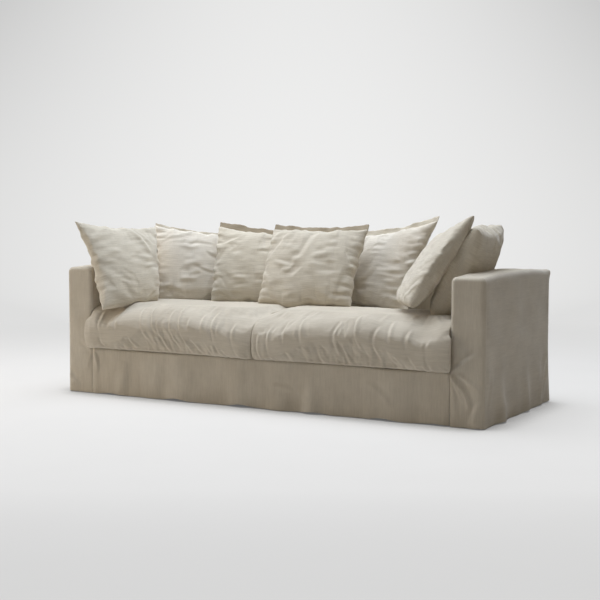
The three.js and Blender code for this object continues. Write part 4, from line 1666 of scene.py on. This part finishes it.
PILLOWS = [
    PillowForm(
        number=1,
        foot=(-0.8297, -0.2868, 0.4892),
        turn=-76.0,
        lean=25.0,
        roll=0.0,
        corners=((-0.283, -0.026), (0.1, 0.0), (-0.297, 0.487), (0.248, 0.452)),
        pulls=(0.042, 0.004, 0.028),
        pucker=0.6,
        front=(
            Fold((-0.03, 0.45), (0.085, 0.27), 0.012, 0.014, 0.011, 1.0),
            Fold((0.05, 0.4), (0.2, 0.41), -0.005, 0.03, -0.005, 0.0),
            Fold((-0.02, 0.335), (0.11, 0.325), 0.006, 0.007, -0.004, 0.6),
            Fold((-0.06, 0.235), (0.04, 0.225), 0.006, 0.008, -0.005, 0.6),
            Fold((0.02, 0.17), (0.13, 0.18), 0.01, 0.008, -0.005, 0.6),
            Fold((-0.24, 0.2), (-0.14, 0.21), 0.006, 0.008, -0.004, 0.6),
            Fold((-0.22, 0.12), (-0.05, 0.1), 0.01, 0.01, -0.004, 0.6),
        ),
    ),
    PillowForm(
        number=2,
        foot=(-0.6725, 0.0954, 0.4755),
        turn=-28.0,
        lean=20.0,
        roll=-2.0,
        corners=((-0.297, 0.008), (0.27, 0.0), (-0.3, 0.47), (0.262, 0.385)),
        pulls=(0.0, 0.03, 0.022),
        # its case takes the lighter copy of the pillow linen, with painted light
        linen="pale",
        lip=(0.018, "pillow"),
        front=(
            Fold((-0.29, 0.03), (-0.17, 0.1), -0.02, 0.016, -0.012, 0.9),
            Fold((-0.29, 0.06), (-0.13, 0.05), 0.02, 0.012, -0.008, 0.9),
            Fold((-0.06, 0.2), (0.1, 0.15), -0.02, 0.008, -0.006, 0.7),
            Fold((0.0, 0.27), (0.12, 0.22), -0.015, 0.009, -0.005, 0.7),
            Fold((-0.1, 0.32), (0.05, 0.3), 0.01, 0.008, -0.004, 0.6),
            Fold((-0.26, 0.34), (-0.12, 0.36), 0.01, 0.01, -0.004, 0.6),
            Fold((-0.2, 0.03), (0.1, 0.025), 0.01, 0.02, -0.006, 0.5),
        ),
    ),
    PillowForm(
        number=3,
        foot=(-0.3202, 0.0569, 0.4825),
        turn=-9.0,
        lean=22.0,
        roll=-2.0,
        corners=((-0.275, 0.005), (0.28, 0.0), (-0.282, 0.463), (0.28, 0.385)),
        pulls=(0.012, 0.03, 0.02),
        # its lip takes the dark lip linen, with painted shade
        lip=(0.036, "lip"),
        front=(
            Fold((0.0, 0.36), (0.03, 0.26), 0.02, 0.045, -0.008, 0.0),
            Fold((-0.28, 0.35), (-0.23, 0.34), 0.006, 0.01, -0.005, 0.8),
            Fold((-0.27, 0.12), (-0.18, 0.125), 0.01, 0.012, -0.005, 0.8),
            Fold((-0.26, 0.2), (-0.21, 0.2), 0.006, 0.01, -0.004, 0.8),
            Fold((-0.2, 0.035), (0.1, 0.03), 0.01, 0.02, -0.005, 0.5),
        ),
    ),
    PillowForm(
        number=4,
        foot=(0.0496, -0.0780, 0.4823),
        turn=-2.0,
        lean=26.0,
        roll=0.0,
        corners=((-0.272, 0.006), (0.276, 0.008), (-0.281, 0.45), (0.287, 0.45)),
        pulls=(0.008, 0.022, 0.018),
        dip=(-0.25, 0.02),
        # its case takes the darker copy of the pillow linen, with painted shade
        linen="deep",
        # its lip takes the dark lip linen, with painted shade
        lip=(0.034, "lip"),
        front=(
            Fold((-0.01, 0.47), (-0.055, 0.25), 0.012, 0.018, -0.014, 0.3),
            Fold((-0.19, 0.235), (-0.04, 0.21), -0.008, 0.008, 0.006, 0.9),
            Fold((-0.07, 0.2), (-0.04, 0.17), 0.0, 0.04, -0.014, 0.0),
            Fold((0.16, 0.12), (0.26, 0.1), 0.006, 0.009, -0.005, 0.8),
            Fold((0.15, 0.07), (0.26, 0.05), 0.006, 0.009, -0.006, 0.8),
            Fold((0.2, 0.3), (0.27, 0.28), 0.006, 0.009, -0.004, 0.8),
        ),
    ),
    PillowForm(
        number=5,
        foot=(0.3151, 0.1497, 0.4865),
        turn=9.0,
        lean=19.0,
        roll=6.0,
        corners=((-0.28, 0.0), (0.26, 0.0), (-0.24, 0.36), (0.284, 0.505)),
        pulls=(0.02, 0.036, 0.026),
        # its case takes the lighter copy of the pillow linen, with painted light
        linen="pale",
        lip=(0.033, "pillow"),
        front=(
            Fold((0.05, 0.42), (0.02, 0.36), 0.0, 0.016, -0.006, 0.0),
            Fold((0.03, 0.22), (-0.06, 0.12), 0.02, 0.014, 0.004, 0.8),
            Fold((0.26, 0.36), (0.18, 0.31), 0.008, 0.01, -0.008, 0.8),
            Fold((0.24, 0.29), (0.15, 0.25), 0.008, 0.01, -0.008, 0.8),
            Fold((0.23, 0.21), (0.13, 0.18), 0.008, 0.01, -0.008, 0.8),
            Fold((0.23, 0.14), (0.12, 0.12), 0.008, 0.011, -0.008, 0.8),
            Fold((0.24, 0.05), (0.1, 0.08), -0.02, 0.014, -0.009, 0.8),
        ),
    ),
    PillowForm(
        number=6,
        foot=(0.6705, -0.1942, 0.4937),
        turn=58.0,
        lean=30.0,
        roll=0.0,
        corners=((-0.15, 0.03), (0.26, 0.036), (-0.25, 0.44), (0.295, 0.548)),
        pulls=(0.02, 0.0, 0.04),
        full=0.067,
        rear_share=0.95,
        bend=(0.019, -0.014),
        roundness=0.36,
        # its case takes the darker copy of the pillow linen, with painted shade
        linen="deep",
        pucker=0.4,
        front=(
            Fold((0.25, 0.03), (0.12, 0.1), 0.02, 0.014, -0.01, 0.8),
            Fold((0.25, 0.07), (0.1, 0.18), 0.01, 0.012, -0.006, 0.8),
            Fold((0.24, 0.3), (0.1, 0.28), 0.0, 0.01, -0.004, 0.8),
        ),
    ),
    PillowForm(
        number=7,
        foot=(0.8290, -0.0624, 0.4872),
        turn=81.0,
        lean=29.0,
        roll=0.0,
        corners=((-0.28, 0.0), (0.255, -0.003), (-0.265, 0.482), (0.278, 0.468)),
        pulls=(0.01, 0.004, 0.012),
        full=0.095,
        rear_share=1.02,
        bend=(0.0, 0.022),
        roundness=0.32,
        pucker=0.5,
        front=(Fold((0.26, 0.05), (0.12, 0.12), 0.02, 0.014, -0.008, 0.8),),
        rear=(
            Fold((0.2, 0.45), (0.1, 0.32), 0.01, 0.012, -0.006, 0.8),
            Fold((0.05, 0.47), (0.02, 0.33), 0.01, 0.012, -0.006, 0.8),
            Fold((-0.08, 0.47), (-0.06, 0.34), 0.01, 0.012, -0.005, 0.8),
        ),
        ruffle=1.0,
    ),
]


@dataclass
class Pillow:
    """One soft square pillow, sewn from two pieces of cloth and swollen by its filling.

    Attributes:
        form: where it stands and how it lies.
        palette: the finishes.
        columns: cells across.
        rows: cells up.
        rim: the thickness of its seam.
        crown: half its thickness before it swells.
        fold_depth: the share of their depth to which the form's folds are pressed in.
        wrinkle: how high the simulated wrinkles stand at most.
        ruffle: how high the waves of the top seam stand.
        scallop: how far the side seams move in and out.
        lip_width: the width of the lip's flat cloth.
    """

    form: PillowForm
    palette: Palette
    columns: int = 62
    rows: int = 54
    rim: float = 0.008
    crown: float = 0.03
    fold_depth: float = 0.65
    wrinkle: float = 0.0032
    ruffle: float = 0.004
    scallop: float = 0.012
    lip_width: float = 0.56

    def sewn(self) -> tuple[Piece, Array, Array, Array]:
        """Two flat pieces joined round the edge, in the pillow's own plane.

        Returns:
            The object, each point's share across and up from -1 to 1, and -1 or 1 for front or rear.
        """
        mesh, across, up, layer = joined_squares(self.columns, self.rows)
        places = self.form.plane(across, up)
        uneven = Ripples(self.form.seed, 0.13, height=0.004).at(places[:, 0], places[:, 1] + 0.05 * layer)
        depth = layer * (self.rim / 2.0 + swell(across, up) ** 0.6 * (self.crown + uneven))
        cloth = mesh.loops.layers.uv.new("cloth")
        lay_out(mesh, np.stack([places[:, 0], depth, places[:, 1]], axis=1))
        smooth_faces(mesh)
        flat = np.stack([across * 0.3 + 0.7 * layer, up * 0.3], axis=1)
        for face in mesh.faces:
            for loop in face.loops:
                loop[cloth].uv = flat[loop.vert.index]
        bmesh.ops.recalc_face_normals(mesh, faces=mesh.faces[:])
        return as_object(f"scatter_pillow_{self.form.number}", mesh), across, up, layer

    def build(self) -> Piece:
        """Makes the pillow.

        Returns:
            The piece.
        """
        piece, across, up, layer = self.sewn()
        start = read_points(piece)
        rim = np.maximum(np.abs(across), np.abs(up)) > 1.0 - TOUCH
        Swelling(frames=20, pressure=1.8, growth=0.085, bending=0.06).run(piece, rim.astype(float))
        points = self.settled(start, read_points(piece), across, up, layer)
        write_points(piece, self.form.in_sofa(points))
        smoothed(piece)
        self.palette.dress(piece, self.form.linen)
        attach(piece, self.form.body)
        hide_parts(f"{self.form.body}_cover")
        return piece

    def settled(self, start: Array, swollen: Array, across: Array, up: Array, layer: Array) -> Array:
        """Puts the simulated wrinkles on the form that the filling has settled into.

        Args:
            start: the points before the cloth swelled, in the pillow's own axes.
            swollen: the points after it.
            across: shares across, from -1 to 1.
            up: shares up, from -1 to 1.
            layer: -1 for the front and 1 for the rear.

        Returns:
            The points in the pillow's own axes.
        """
        form, half_rim = self.form, self.rim / 2.0
        inside = swell(across, up)
        x, z = start[:, 0], start[:, 2]
        wrinkles = self.wrinkles(swollen[:, 1] * layer, across, up, layer)
        wrinkles = self.wrinkle * np.tanh(wrinkles * 0.3 / self.wrinkle) * smooth_step(0.0, 0.06, inside)
        seed = form.seed + 40
        patches = np.clip(0.6 + 0.6 * Ripples(seed, 0.16).at(x, z + 0.7 * layer), 0.0, 1.6)
        fine = Ripples(seed + 1, 0.028, 4.0, 0.001).at(z + 0.3 * layer, x)
        fine += Ripples(seed + 2, 0.055, 3.0, 0.0014).at(z + 0.3 * layer, x)
        wrinkles += fine * patches * inside**0.3
        belly = 1.0 - 0.1 * up + 0.04 * across * np.sin(1.7 * form.number)
        full = np.where(layer < 0.0, form.full, form.full * form.rear_share)
        half = half_rim + (full - half_rim) * inside**form.roundness * belly
        scallop = self.scallops(across, up) * form.pucker
        half = half * (1.0 + 0.5 * scallop * smooth_step(0.35, 0.08, inside)) + wrinkles
        front, rear = (folded(folds, x, z) * self.fold_depth for folds in (form.front, form.rear))
        pressed = np.where(layer < 0.0, front, rear) * smooth_step(0.0, 0.12, inside)
        half = np.maximum(half + pressed, half_rim)
        points = swollen.copy()
        rise = np.clip((up + 1.0) / 2.0, 0.0, 1.0)
        points[:, 1] = layer * np.minimum(half, full + 0.012) + form.bend[0] * rise + form.bend[1] * (1.0 - rise)
        points[:, 0] += np.sign(across) * scallop * self.scallop * np.abs(across) ** 10 * (1.0 - up**6)
        points[:, 2] += self.ruffles(across) * np.clip(up, 0.0, 1.0) ** 14
        return points

    def wrinkles(self, height: Array, across: Array, up: Array, layer: Array) -> Array:
        """What is left of the swollen cloth's height when its broad form is taken off.

        Args:
            height: how far each point stands off the seam's plane.
            across: shares across.
            up: shares up.
            layer: -1 for the front and 1 for the rear.

        Returns:
            The height of the wrinkles at each point.
        """
        made = np.zeros(len(height))
        rise = swell(across, up)
        powers = [(power, i, j) for power in (0.5, 1.0) for i in range(5) for j in range(5 - i)]
        columns = [np.ones(len(across)), *(rise**power * across**i * up**j for power, i, j in powers)]
        broad = np.stack(columns, axis=1)
        for which in (-1.0, 1.0):
            some = layer == which
            fit, *_ = np.linalg.lstsq(broad[some], height[some], rcond=None)
            made[some] = height[some] - broad[some] @ fit
        return made

    def scallops(self, across: Array, up: Array) -> Array:
        """The puckers along the side seams, as bulges between sharp pinches.

        Args:
            across: shares across.
            up: shares up.

        Returns:
            A height from about -0.5 to 0.4 at each point, near the sides alone.
        """
        phase = 0.9 * self.form.number + 0.7 * (across > 0.0)
        rise = math.pi * (up + 0.06 * np.sin(5.0 * up + phase) + 1.0) / 2.0
        broad, fine = (
            np.abs(np.sin(count * rise + shift)) ** 0.6 - 0.62 for count, shift in ((3.96, phase), (8.7, 2.0 * phase))
        )
        return (broad + fine) / 2.0 * smooth_step(0.55, 0.97, np.abs(across))

    def ruffles(self, across: Array) -> Array:
        """How far the small waves lift the top seam."""
        waves = np.sin(31.0 * across + self.form.number) + 0.7 * np.sin(53.0 * across + 2.0 * self.form.number)
        return waves * (0.2 + self.form.ruffle) * self.ruffle

    def lip(self) -> Piece:
        """The flat lip of cloth that stands above the top seam.

        Returns:
            The piece.
        """
        form = self.form
        height, finish = form.lip
        weave = Weave(f"pillow_lip_{form.number}", self.lip_width, height, 90, 4)
        share, along = 2.0 * weave.across - 1.0, weave.along
        x, seam = form.plane(share * 0.985, np.ones(len(share))).T
        flutter = (Ripples(900 + form.number, 0.075, height=0.003).at(x, along * 0.02) + 0.003) * along
        uneven = 1.0 + Ripples(920 + form.number, 0.12, height=0.05).at(x, 0.0 * along)
        rise = seam + self.ruffles(share) - 0.004 + along * (height + 0.002) * uneven
        points = form.in_sofa(np.stack([x, 0.002 + flutter, rise], axis=1))
        piece = weave.piece(points, form.matrix() @ Vector((0.0, 1.0, 0.3)))
        self.palette.dress(piece, finish)
        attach(piece, form.body)
        return piece


# What lies under the cover


@dataclass
class Stuffing:
    """A soft piece under the cover, made from its node with rounded edges.

    Attributes:
        node: the frame's node.
        finish: the finish's name.
        palette: the finishes.
        spare: how far it stays inside its node.
        rounding: the radius of its edges.
        sheet: whether it is a cloth.
    """

    node: str
    finish: str
    palette: Palette
    spare: float = 0.004
    rounding: float = 0.004
    sheet: bool = False

    def build(self) -> Piece:
        """Makes the piece.

        Returns:
            The piece.
        """
        mesh = bmesh.new()
        mesh.from_mesh(frame["nodes"][self.node].data)
        bmesh.ops.remove_doubles(mesh, verts=mesh.verts[:], dist=1e-5)
        bmesh.ops.dissolve_limit(mesh, angle_limit=math.radians(1.0), verts=mesh.verts[:], edges=mesh.edges[:])
        mesh.normal_update()
        for vert in mesh.verts:
            vert.co -= vert.normal * self.spare
        cloth = mesh.loops.layers.uv.new("cloth")
        for face in mesh.faces:
            face.smooth = False
            for loop in face.loops:
                loop[cloth].uv = loop.vert.co.xy
        piece = as_object(f"{self.node}_soft", mesh)
        if self.rounding:
            edge = piece.modifiers.new("soft_edge", "BEVEL")
            edge.width = self.rounding
            edge.segments = 2
            edge.limit_method = "ANGLE"
            edge.angle_limit = math.radians(40.0)
        self.palette.dress(piece, self.finish)
        body = next(name for name, nodes in frame["record"]["behaviour"]["bodies"].items() if self.node in nodes)
        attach(piece, body)
        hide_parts(self.node)
        if self.sheet:
            low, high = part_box(self.node)
        return piece


@dataclass
class PillowFilling:
    """The down inside a pillow, a smaller and softer form of its node.

    Attributes:
        form: the pillow's form.
        palette: the finishes.
        columns: cells across.
        rows: cells up.
        share: its width and height beside the pillow's.
        full: its thickness beside the pillow's.
    """

    form: PillowForm
    palette: Palette
    columns: int = 24
    rows: int = 22
    share: float = 0.8
    full: float = 0.45

    def build(self) -> Piece:
        """Makes the filling.

        Returns:
            The piece.
        """
        mesh, across, up, layer = joined_squares(self.columns, self.rows)
        x, z = self.form.plane(across * self.share, up * self.share).T
        lumps = 1.0 + Ripples(800 + self.form.number, 0.1, height=0.08).at(x, z)
        depth = layer * (0.002 + self.full * self.form.full * swell(across, up) ** 0.5 * lumps)
        lay_out(mesh, self.form.in_sofa(np.stack([x, depth, z], axis=1)))
        smooth_faces(mesh)
        bmesh.ops.recalc_face_normals(mesh, faces=mesh.faces[:])
        piece = as_object(f"pillow_filling_{self.form.number}", mesh)
        self.palette.dress(piece, "down")
        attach(piece, self.form.body)
        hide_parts(f"{self.form.body}_fill")
        return piece


def dress_frame(palette: Palette) -> None:
    """Gives the timber frame, its boards, its springs and its feet their finishes.

    Args:
        palette: the finishes.
    """
    finishes = {
        "foot_": "foot",
        "base_rail_front": "timber_X",
        "base_rail_rear": "timber_X",
        "base_rail_": "timber_Y",
        "base_brace": "timber_Y",
        "arm_post": "timber_Z",
        "arm_top_board": "timber_Y",
        "back_top_board": "timber_X",
        "back_post": "timber_Z",
        "arm_panel": "plywood",
        "back_panel": "plywood",
        "seat_spring_unit": "steel",
    }
    for name, node in frame["nodes"].items():
        if not node.hide_render:
            palette.paint(node, next((value for start, value in finishes.items() if name.startswith(start)), "cover"))


# The studio


@dataclass(frozen=True)
class Eye:
    """The camera of the photograph."""

    place: tuple[float, float, float] = (2.937, -5.229, 0.935)
    azimuth: float = 29.41
    elevation: float = 4.02
    lens: float = 67.9

    def build(self) -> None:
        """Makes the camera."""
        data = bpy.data.cameras.new("eye")
        data.lens = self.lens
        data.sensor_width = 36.0
        data.clip_end = 60.0
        camera = bpy.data.objects.new("eye", data)
        a, e = math.radians(self.azimuth), math.radians(self.elevation)
        ahead = Vector((-math.sin(a) * math.cos(e), math.cos(a) * math.cos(e), -math.sin(e)))
        camera.location = self.place
        camera.rotation_euler = ahead.to_track_quat("-Z", "Y").to_euler()
        bpy.context.scene.collection.objects.link(camera)
        bpy.context.scene.camera = camera


@dataclass(frozen=True)
class Lamp:
    """A soft square lamp.

    Attributes:
        name: its name.
        place: where it hangs.
        aim: where it points.
        size: the length of its sides.
        power: its power in watts.
        colour: its colour.
    """

    name: str
    place: tuple[float, float, float]
    aim: tuple[float, float, float]
    size: float
    power: float
    colour: Colour = (1.0, 1.0, 1.0)

    def build(self) -> None:
        """Hangs the lamp."""
        data = bpy.data.lights.new(self.name, "AREA")
        data.energy = self.power
        data.color = self.colour
        data.size = self.size
        lamp = bpy.data.objects.new(self.name, data)
        lamp.location = self.place
        lamp.rotation_euler = (Vector(self.aim) - Vector(self.place)).to_track_quat("-Z", "Y").to_euler()
        bpy.context.scene.collection.objects.link(lamp)


WARM, COOL = (1.0, 0.85, 0.64), (0.82, 0.895, 1.0)


@dataclass(frozen=True)
class Studio:
    """The pale floor and backdrop and the soft lamps.

    Attributes:
        level: how far the floor reaches before it curves up.
        radius: the curve's radius.
        top: the backdrop's height.
        near: how far out the floor starts to pass into the backdrop.
        far: how far out it has passed.
        painted: the share of the floor's look that is a painted glow, with painted shade and a painted contact shadow
            in it, in place of lamp light and shadow.
        sky: the strength of the light from all round.
        lamps: the lamps.
    """

    level: float = 8.5
    radius: float = 4.5
    top: float = 14.0
    near: float = 2.3
    far: float = 5.0
    painted: float = 0.65
    sky: float = 0.095
    lamps: tuple[Lamp, ...] = (
        Lamp("side", (-4.2, -0.6, 2.8), (-0.2, 0.0, 0.5), 2.5, 55.0),
        Lamp("above", (-0.3, 0.3, 4.5), (0.0, 0.0, 0.5), 4.0, 280.0, COOL),
        Lamp("left", (-3.5, -2.5, 1.4), (-0.3, 0.0, 0.4), 1.5, 34.0, WARM),
        Lamp("right", (3.8, -1.5, 3.0), (0.3, 0.0, 0.5), 2.5, 14.0, WARM),
    )

    def bowl(self) -> Piece:
        """A pale floor that curves up into a round backdrop.

        Returns:
            The bowl.
        """
        mesh = bmesh.new()
        turns = np.linspace(0.0, QUARTER, 13)[1:]
        curve = [(self.level + self.radius * math.sin(a), self.radius * (1.0 - math.cos(a))) for a in turns]
        profile = [(0.0, 0.0), (4.0, 0.0), (self.level, 0.0), *curve, (self.level + self.radius, self.top)]
        verts = [mesh.verts.new((x, 0.0, z)) for x, z in profile]
        edges = [mesh.edges.new(pair) for pair in zip(verts, verts[1:])]
        bmesh.ops.spin(
            mesh, geom=[*verts, *edges], cent=(0, 0, 0), axis=(0, 0, 1), angle=2.0 * math.pi, steps=96, use_merge=True
        )
        bmesh.ops.remove_doubles(mesh, verts=mesh.verts[:], dist=1e-4)
        smooth_faces(mesh)
        piece = as_object("studio_bowl", mesh)
        piece.data.materials.append(self.paint())
        return piece

    def paint(self) -> bpy.types.Material:
        """The bowl's paint: near the sofa a floor that is partly lit by the lamps and partly a painted glow with
        painted shade, and further out a backdrop that only shows, a glow with painted shade towards its edges.

        Returns:
            The material.
        """
        material = bpy.data.materials.new("studio_paint")
        material.use_nodes = True
        wire, nodes = Wiring(material.node_tree), material.node_tree.nodes
        place = wire.node("TexCoord", {}).outputs["Object"]
        tints = [(0.3, (0.68, 0.65, 0.615)), (0.7, (0.7, 0.67, 0.635))]
        tint = wire.ramp(wire.noise(place, 3.0, 2.0, 0.5), tints)
        lit = nodes["Principled BSDF"]
        wire.fill(lit, {"Base Color": tint, "Roughness": 0.8, "Specular IOR Level": 0.1})
        rays = wire.node("LightPath", {}).outputs
        seen = wire.math("MAXIMUM", rays["Is Glossy Ray"], rays["Is Transmission Ray"])
        seen = wire.math("MAXIMUM", seen, rays["Is Camera Ray"])
        floor = wire.mixed(wire.times(seen, self.painted), lit, self.floor_glow(wire, place))
        glow = wire.node("Emission", {"Color": self.backdrop_shade(wire, place)})
        backdrop = wire.mixed(seen, wire.node("BsdfTransparent", {}), glow)
        distance = wire.vector_math("LENGTH", place).outputs["Value"]
        both = wire.mixed(wire.spread(distance, self.near, self.far, 0.0, 1.0), floor, backdrop)
        wire.link(both.outputs[0], nodes["Material Output"].inputs["Surface"])
        return material

    def floor_glow(self, wire: Wiring, place: Socket) -> Node:
        """The floor's painted glow, with painted shade that darkens it towards the front and a painted contact shadow
        in the crease under the hem.

        Args:
            wire: the material's wiring.
            place: the place on the bowl.

        Returns:
            The glow's node.
        """
        # the glow darkens towards the camera: painted shade
        ahead = wire.vector_math("DOT_PRODUCT", place, (0.49, -0.865, 0.0)).outputs["Value"]
        levels = ((0.5, 0.87), (0.75, 0.66), (1.0, 0.5))
        shades = [(level, (shade, shade, 0.997 * shade)) for level, shade in levels]
        # ambient occlusion dims the glow round the sofa's foot and hem: a painted contact shadow
        painted_contact_shadow = wire.node("AmbientOcclusion", {"Distance": 0.2}, samples=8).outputs["AO"]
        colour = wire.ramp(wire.spread(ahead, 0.0, 4.2, 0.0, 1.0), shades)
        return wire.node("Emission", {"Color": colour, "Strength": wire.spread(painted_contact_shadow, 0.3, 0.9, 0.2, 1.0)})

    def backdrop_shade(self, wire: Wiring, place: Socket) -> Socket:
        """The backdrop's glow, with painted shade that darkens it a little upwards and towards the sides.

        Args:
            wire: the material's wiring.
            place: the place on the bowl.

        Returns:
            The colour.
        """
        flat = wire.mapped(place, "Scale", (1.0, 1.0, 0.0))
        straight, height = (
            wire.vector_math(
                "DOT_PRODUCT", wire.vector_math("NORMALIZE", way).outputs["Vector"], direction
            ).outputs["Value"]
            for way, direction in ((flat, (-0.4929, 0.8701, 0.0)), (place, (0.0, 0.0, 1.0)))
        )
        side = wire.math("MINIMUM", wire.math("SUBTRACT", 1.0, wire.times(straight, straight)), 0.2)
        up = wire.times(height, height)
        # painted shade towards the sides and the top
        fall = wire.add(wire.add(wire.times(side, 0.65), wire.times(up, 0.45)), wire.times(wire.times(side, up), 9.4))
        shade = wire.math("MAXIMUM", wire.math("SUBTRACT", 0.862, fall), 0.6)
        return wire.ramp(shade, [(0.0, (0.0, 0.0, 0.0)), (1.0, (1.0, 1.0, 0.995))])

    def world(self) -> None:
        """An even pale sky round the bowl."""
        world = bpy.data.worlds.new("studio")
        world.use_nodes = True
        light = world.node_tree.nodes["Background"]
        light.inputs["Color"].default_value = (1.0, 0.985, 0.96, 1.0)
        light.inputs["Strength"].default_value = self.sky
        bpy.context.scene.world = world

    def build(self) -> None:
        """Makes the whole studio."""
        self.bowl()
        for lamp in self.lamps:
            lamp.build()
        self.world()
        bpy.context.scene.view_settings.view_transform = "Standard"


def main() -> None:
    """Builds the sofa's looks in order."""
    logging.basicConfig(level=logging.INFO, format="%(message)s")
    palette = Palette()
    Eye().build()
    Studio().build()
    pieces = [
        *(ArmCover(side, palette) for side in Side),
        *(arm_front(side, palette) for side in Side),
        rear_panel(palette),
        FrontSkirt(palette),
        BackCover(palette),
        DeckCover(palette),
        *(SeatCushion(side, palette) for side in Side),
        *(Pillow(form, palette) for form in PILLOWS),
        *(Stuffing(f"arm_foam_{side.word}", "foam", palette) for side in Side),
        *(Stuffing(f"seat_cushion_fill_{side.word}", "foam", palette, 0.03, 0.0) for side in Side),
        *(PillowFilling(form, palette) for form in PILLOWS),
        Stuffing("back_foam", "foam", palette),
        Stuffing("front_rail_foam", "foam", palette),
        Stuffing("deck_pad", "felt", palette),
        Stuffing("dust_cloth", "dust", palette, 0.0, 0.0, sheet=True),
    ]
    for piece in pieces:
        made = piece.build()
        log.info("built %s with %d faces", made.name, len(made.data.polygons))
        if isinstance(piece, Pillow) and piece.form.lip[0]:
            log.info("built %s", piece.lip().name)
    dress_frame(palette)


if __name__ == "__main__":
    main()
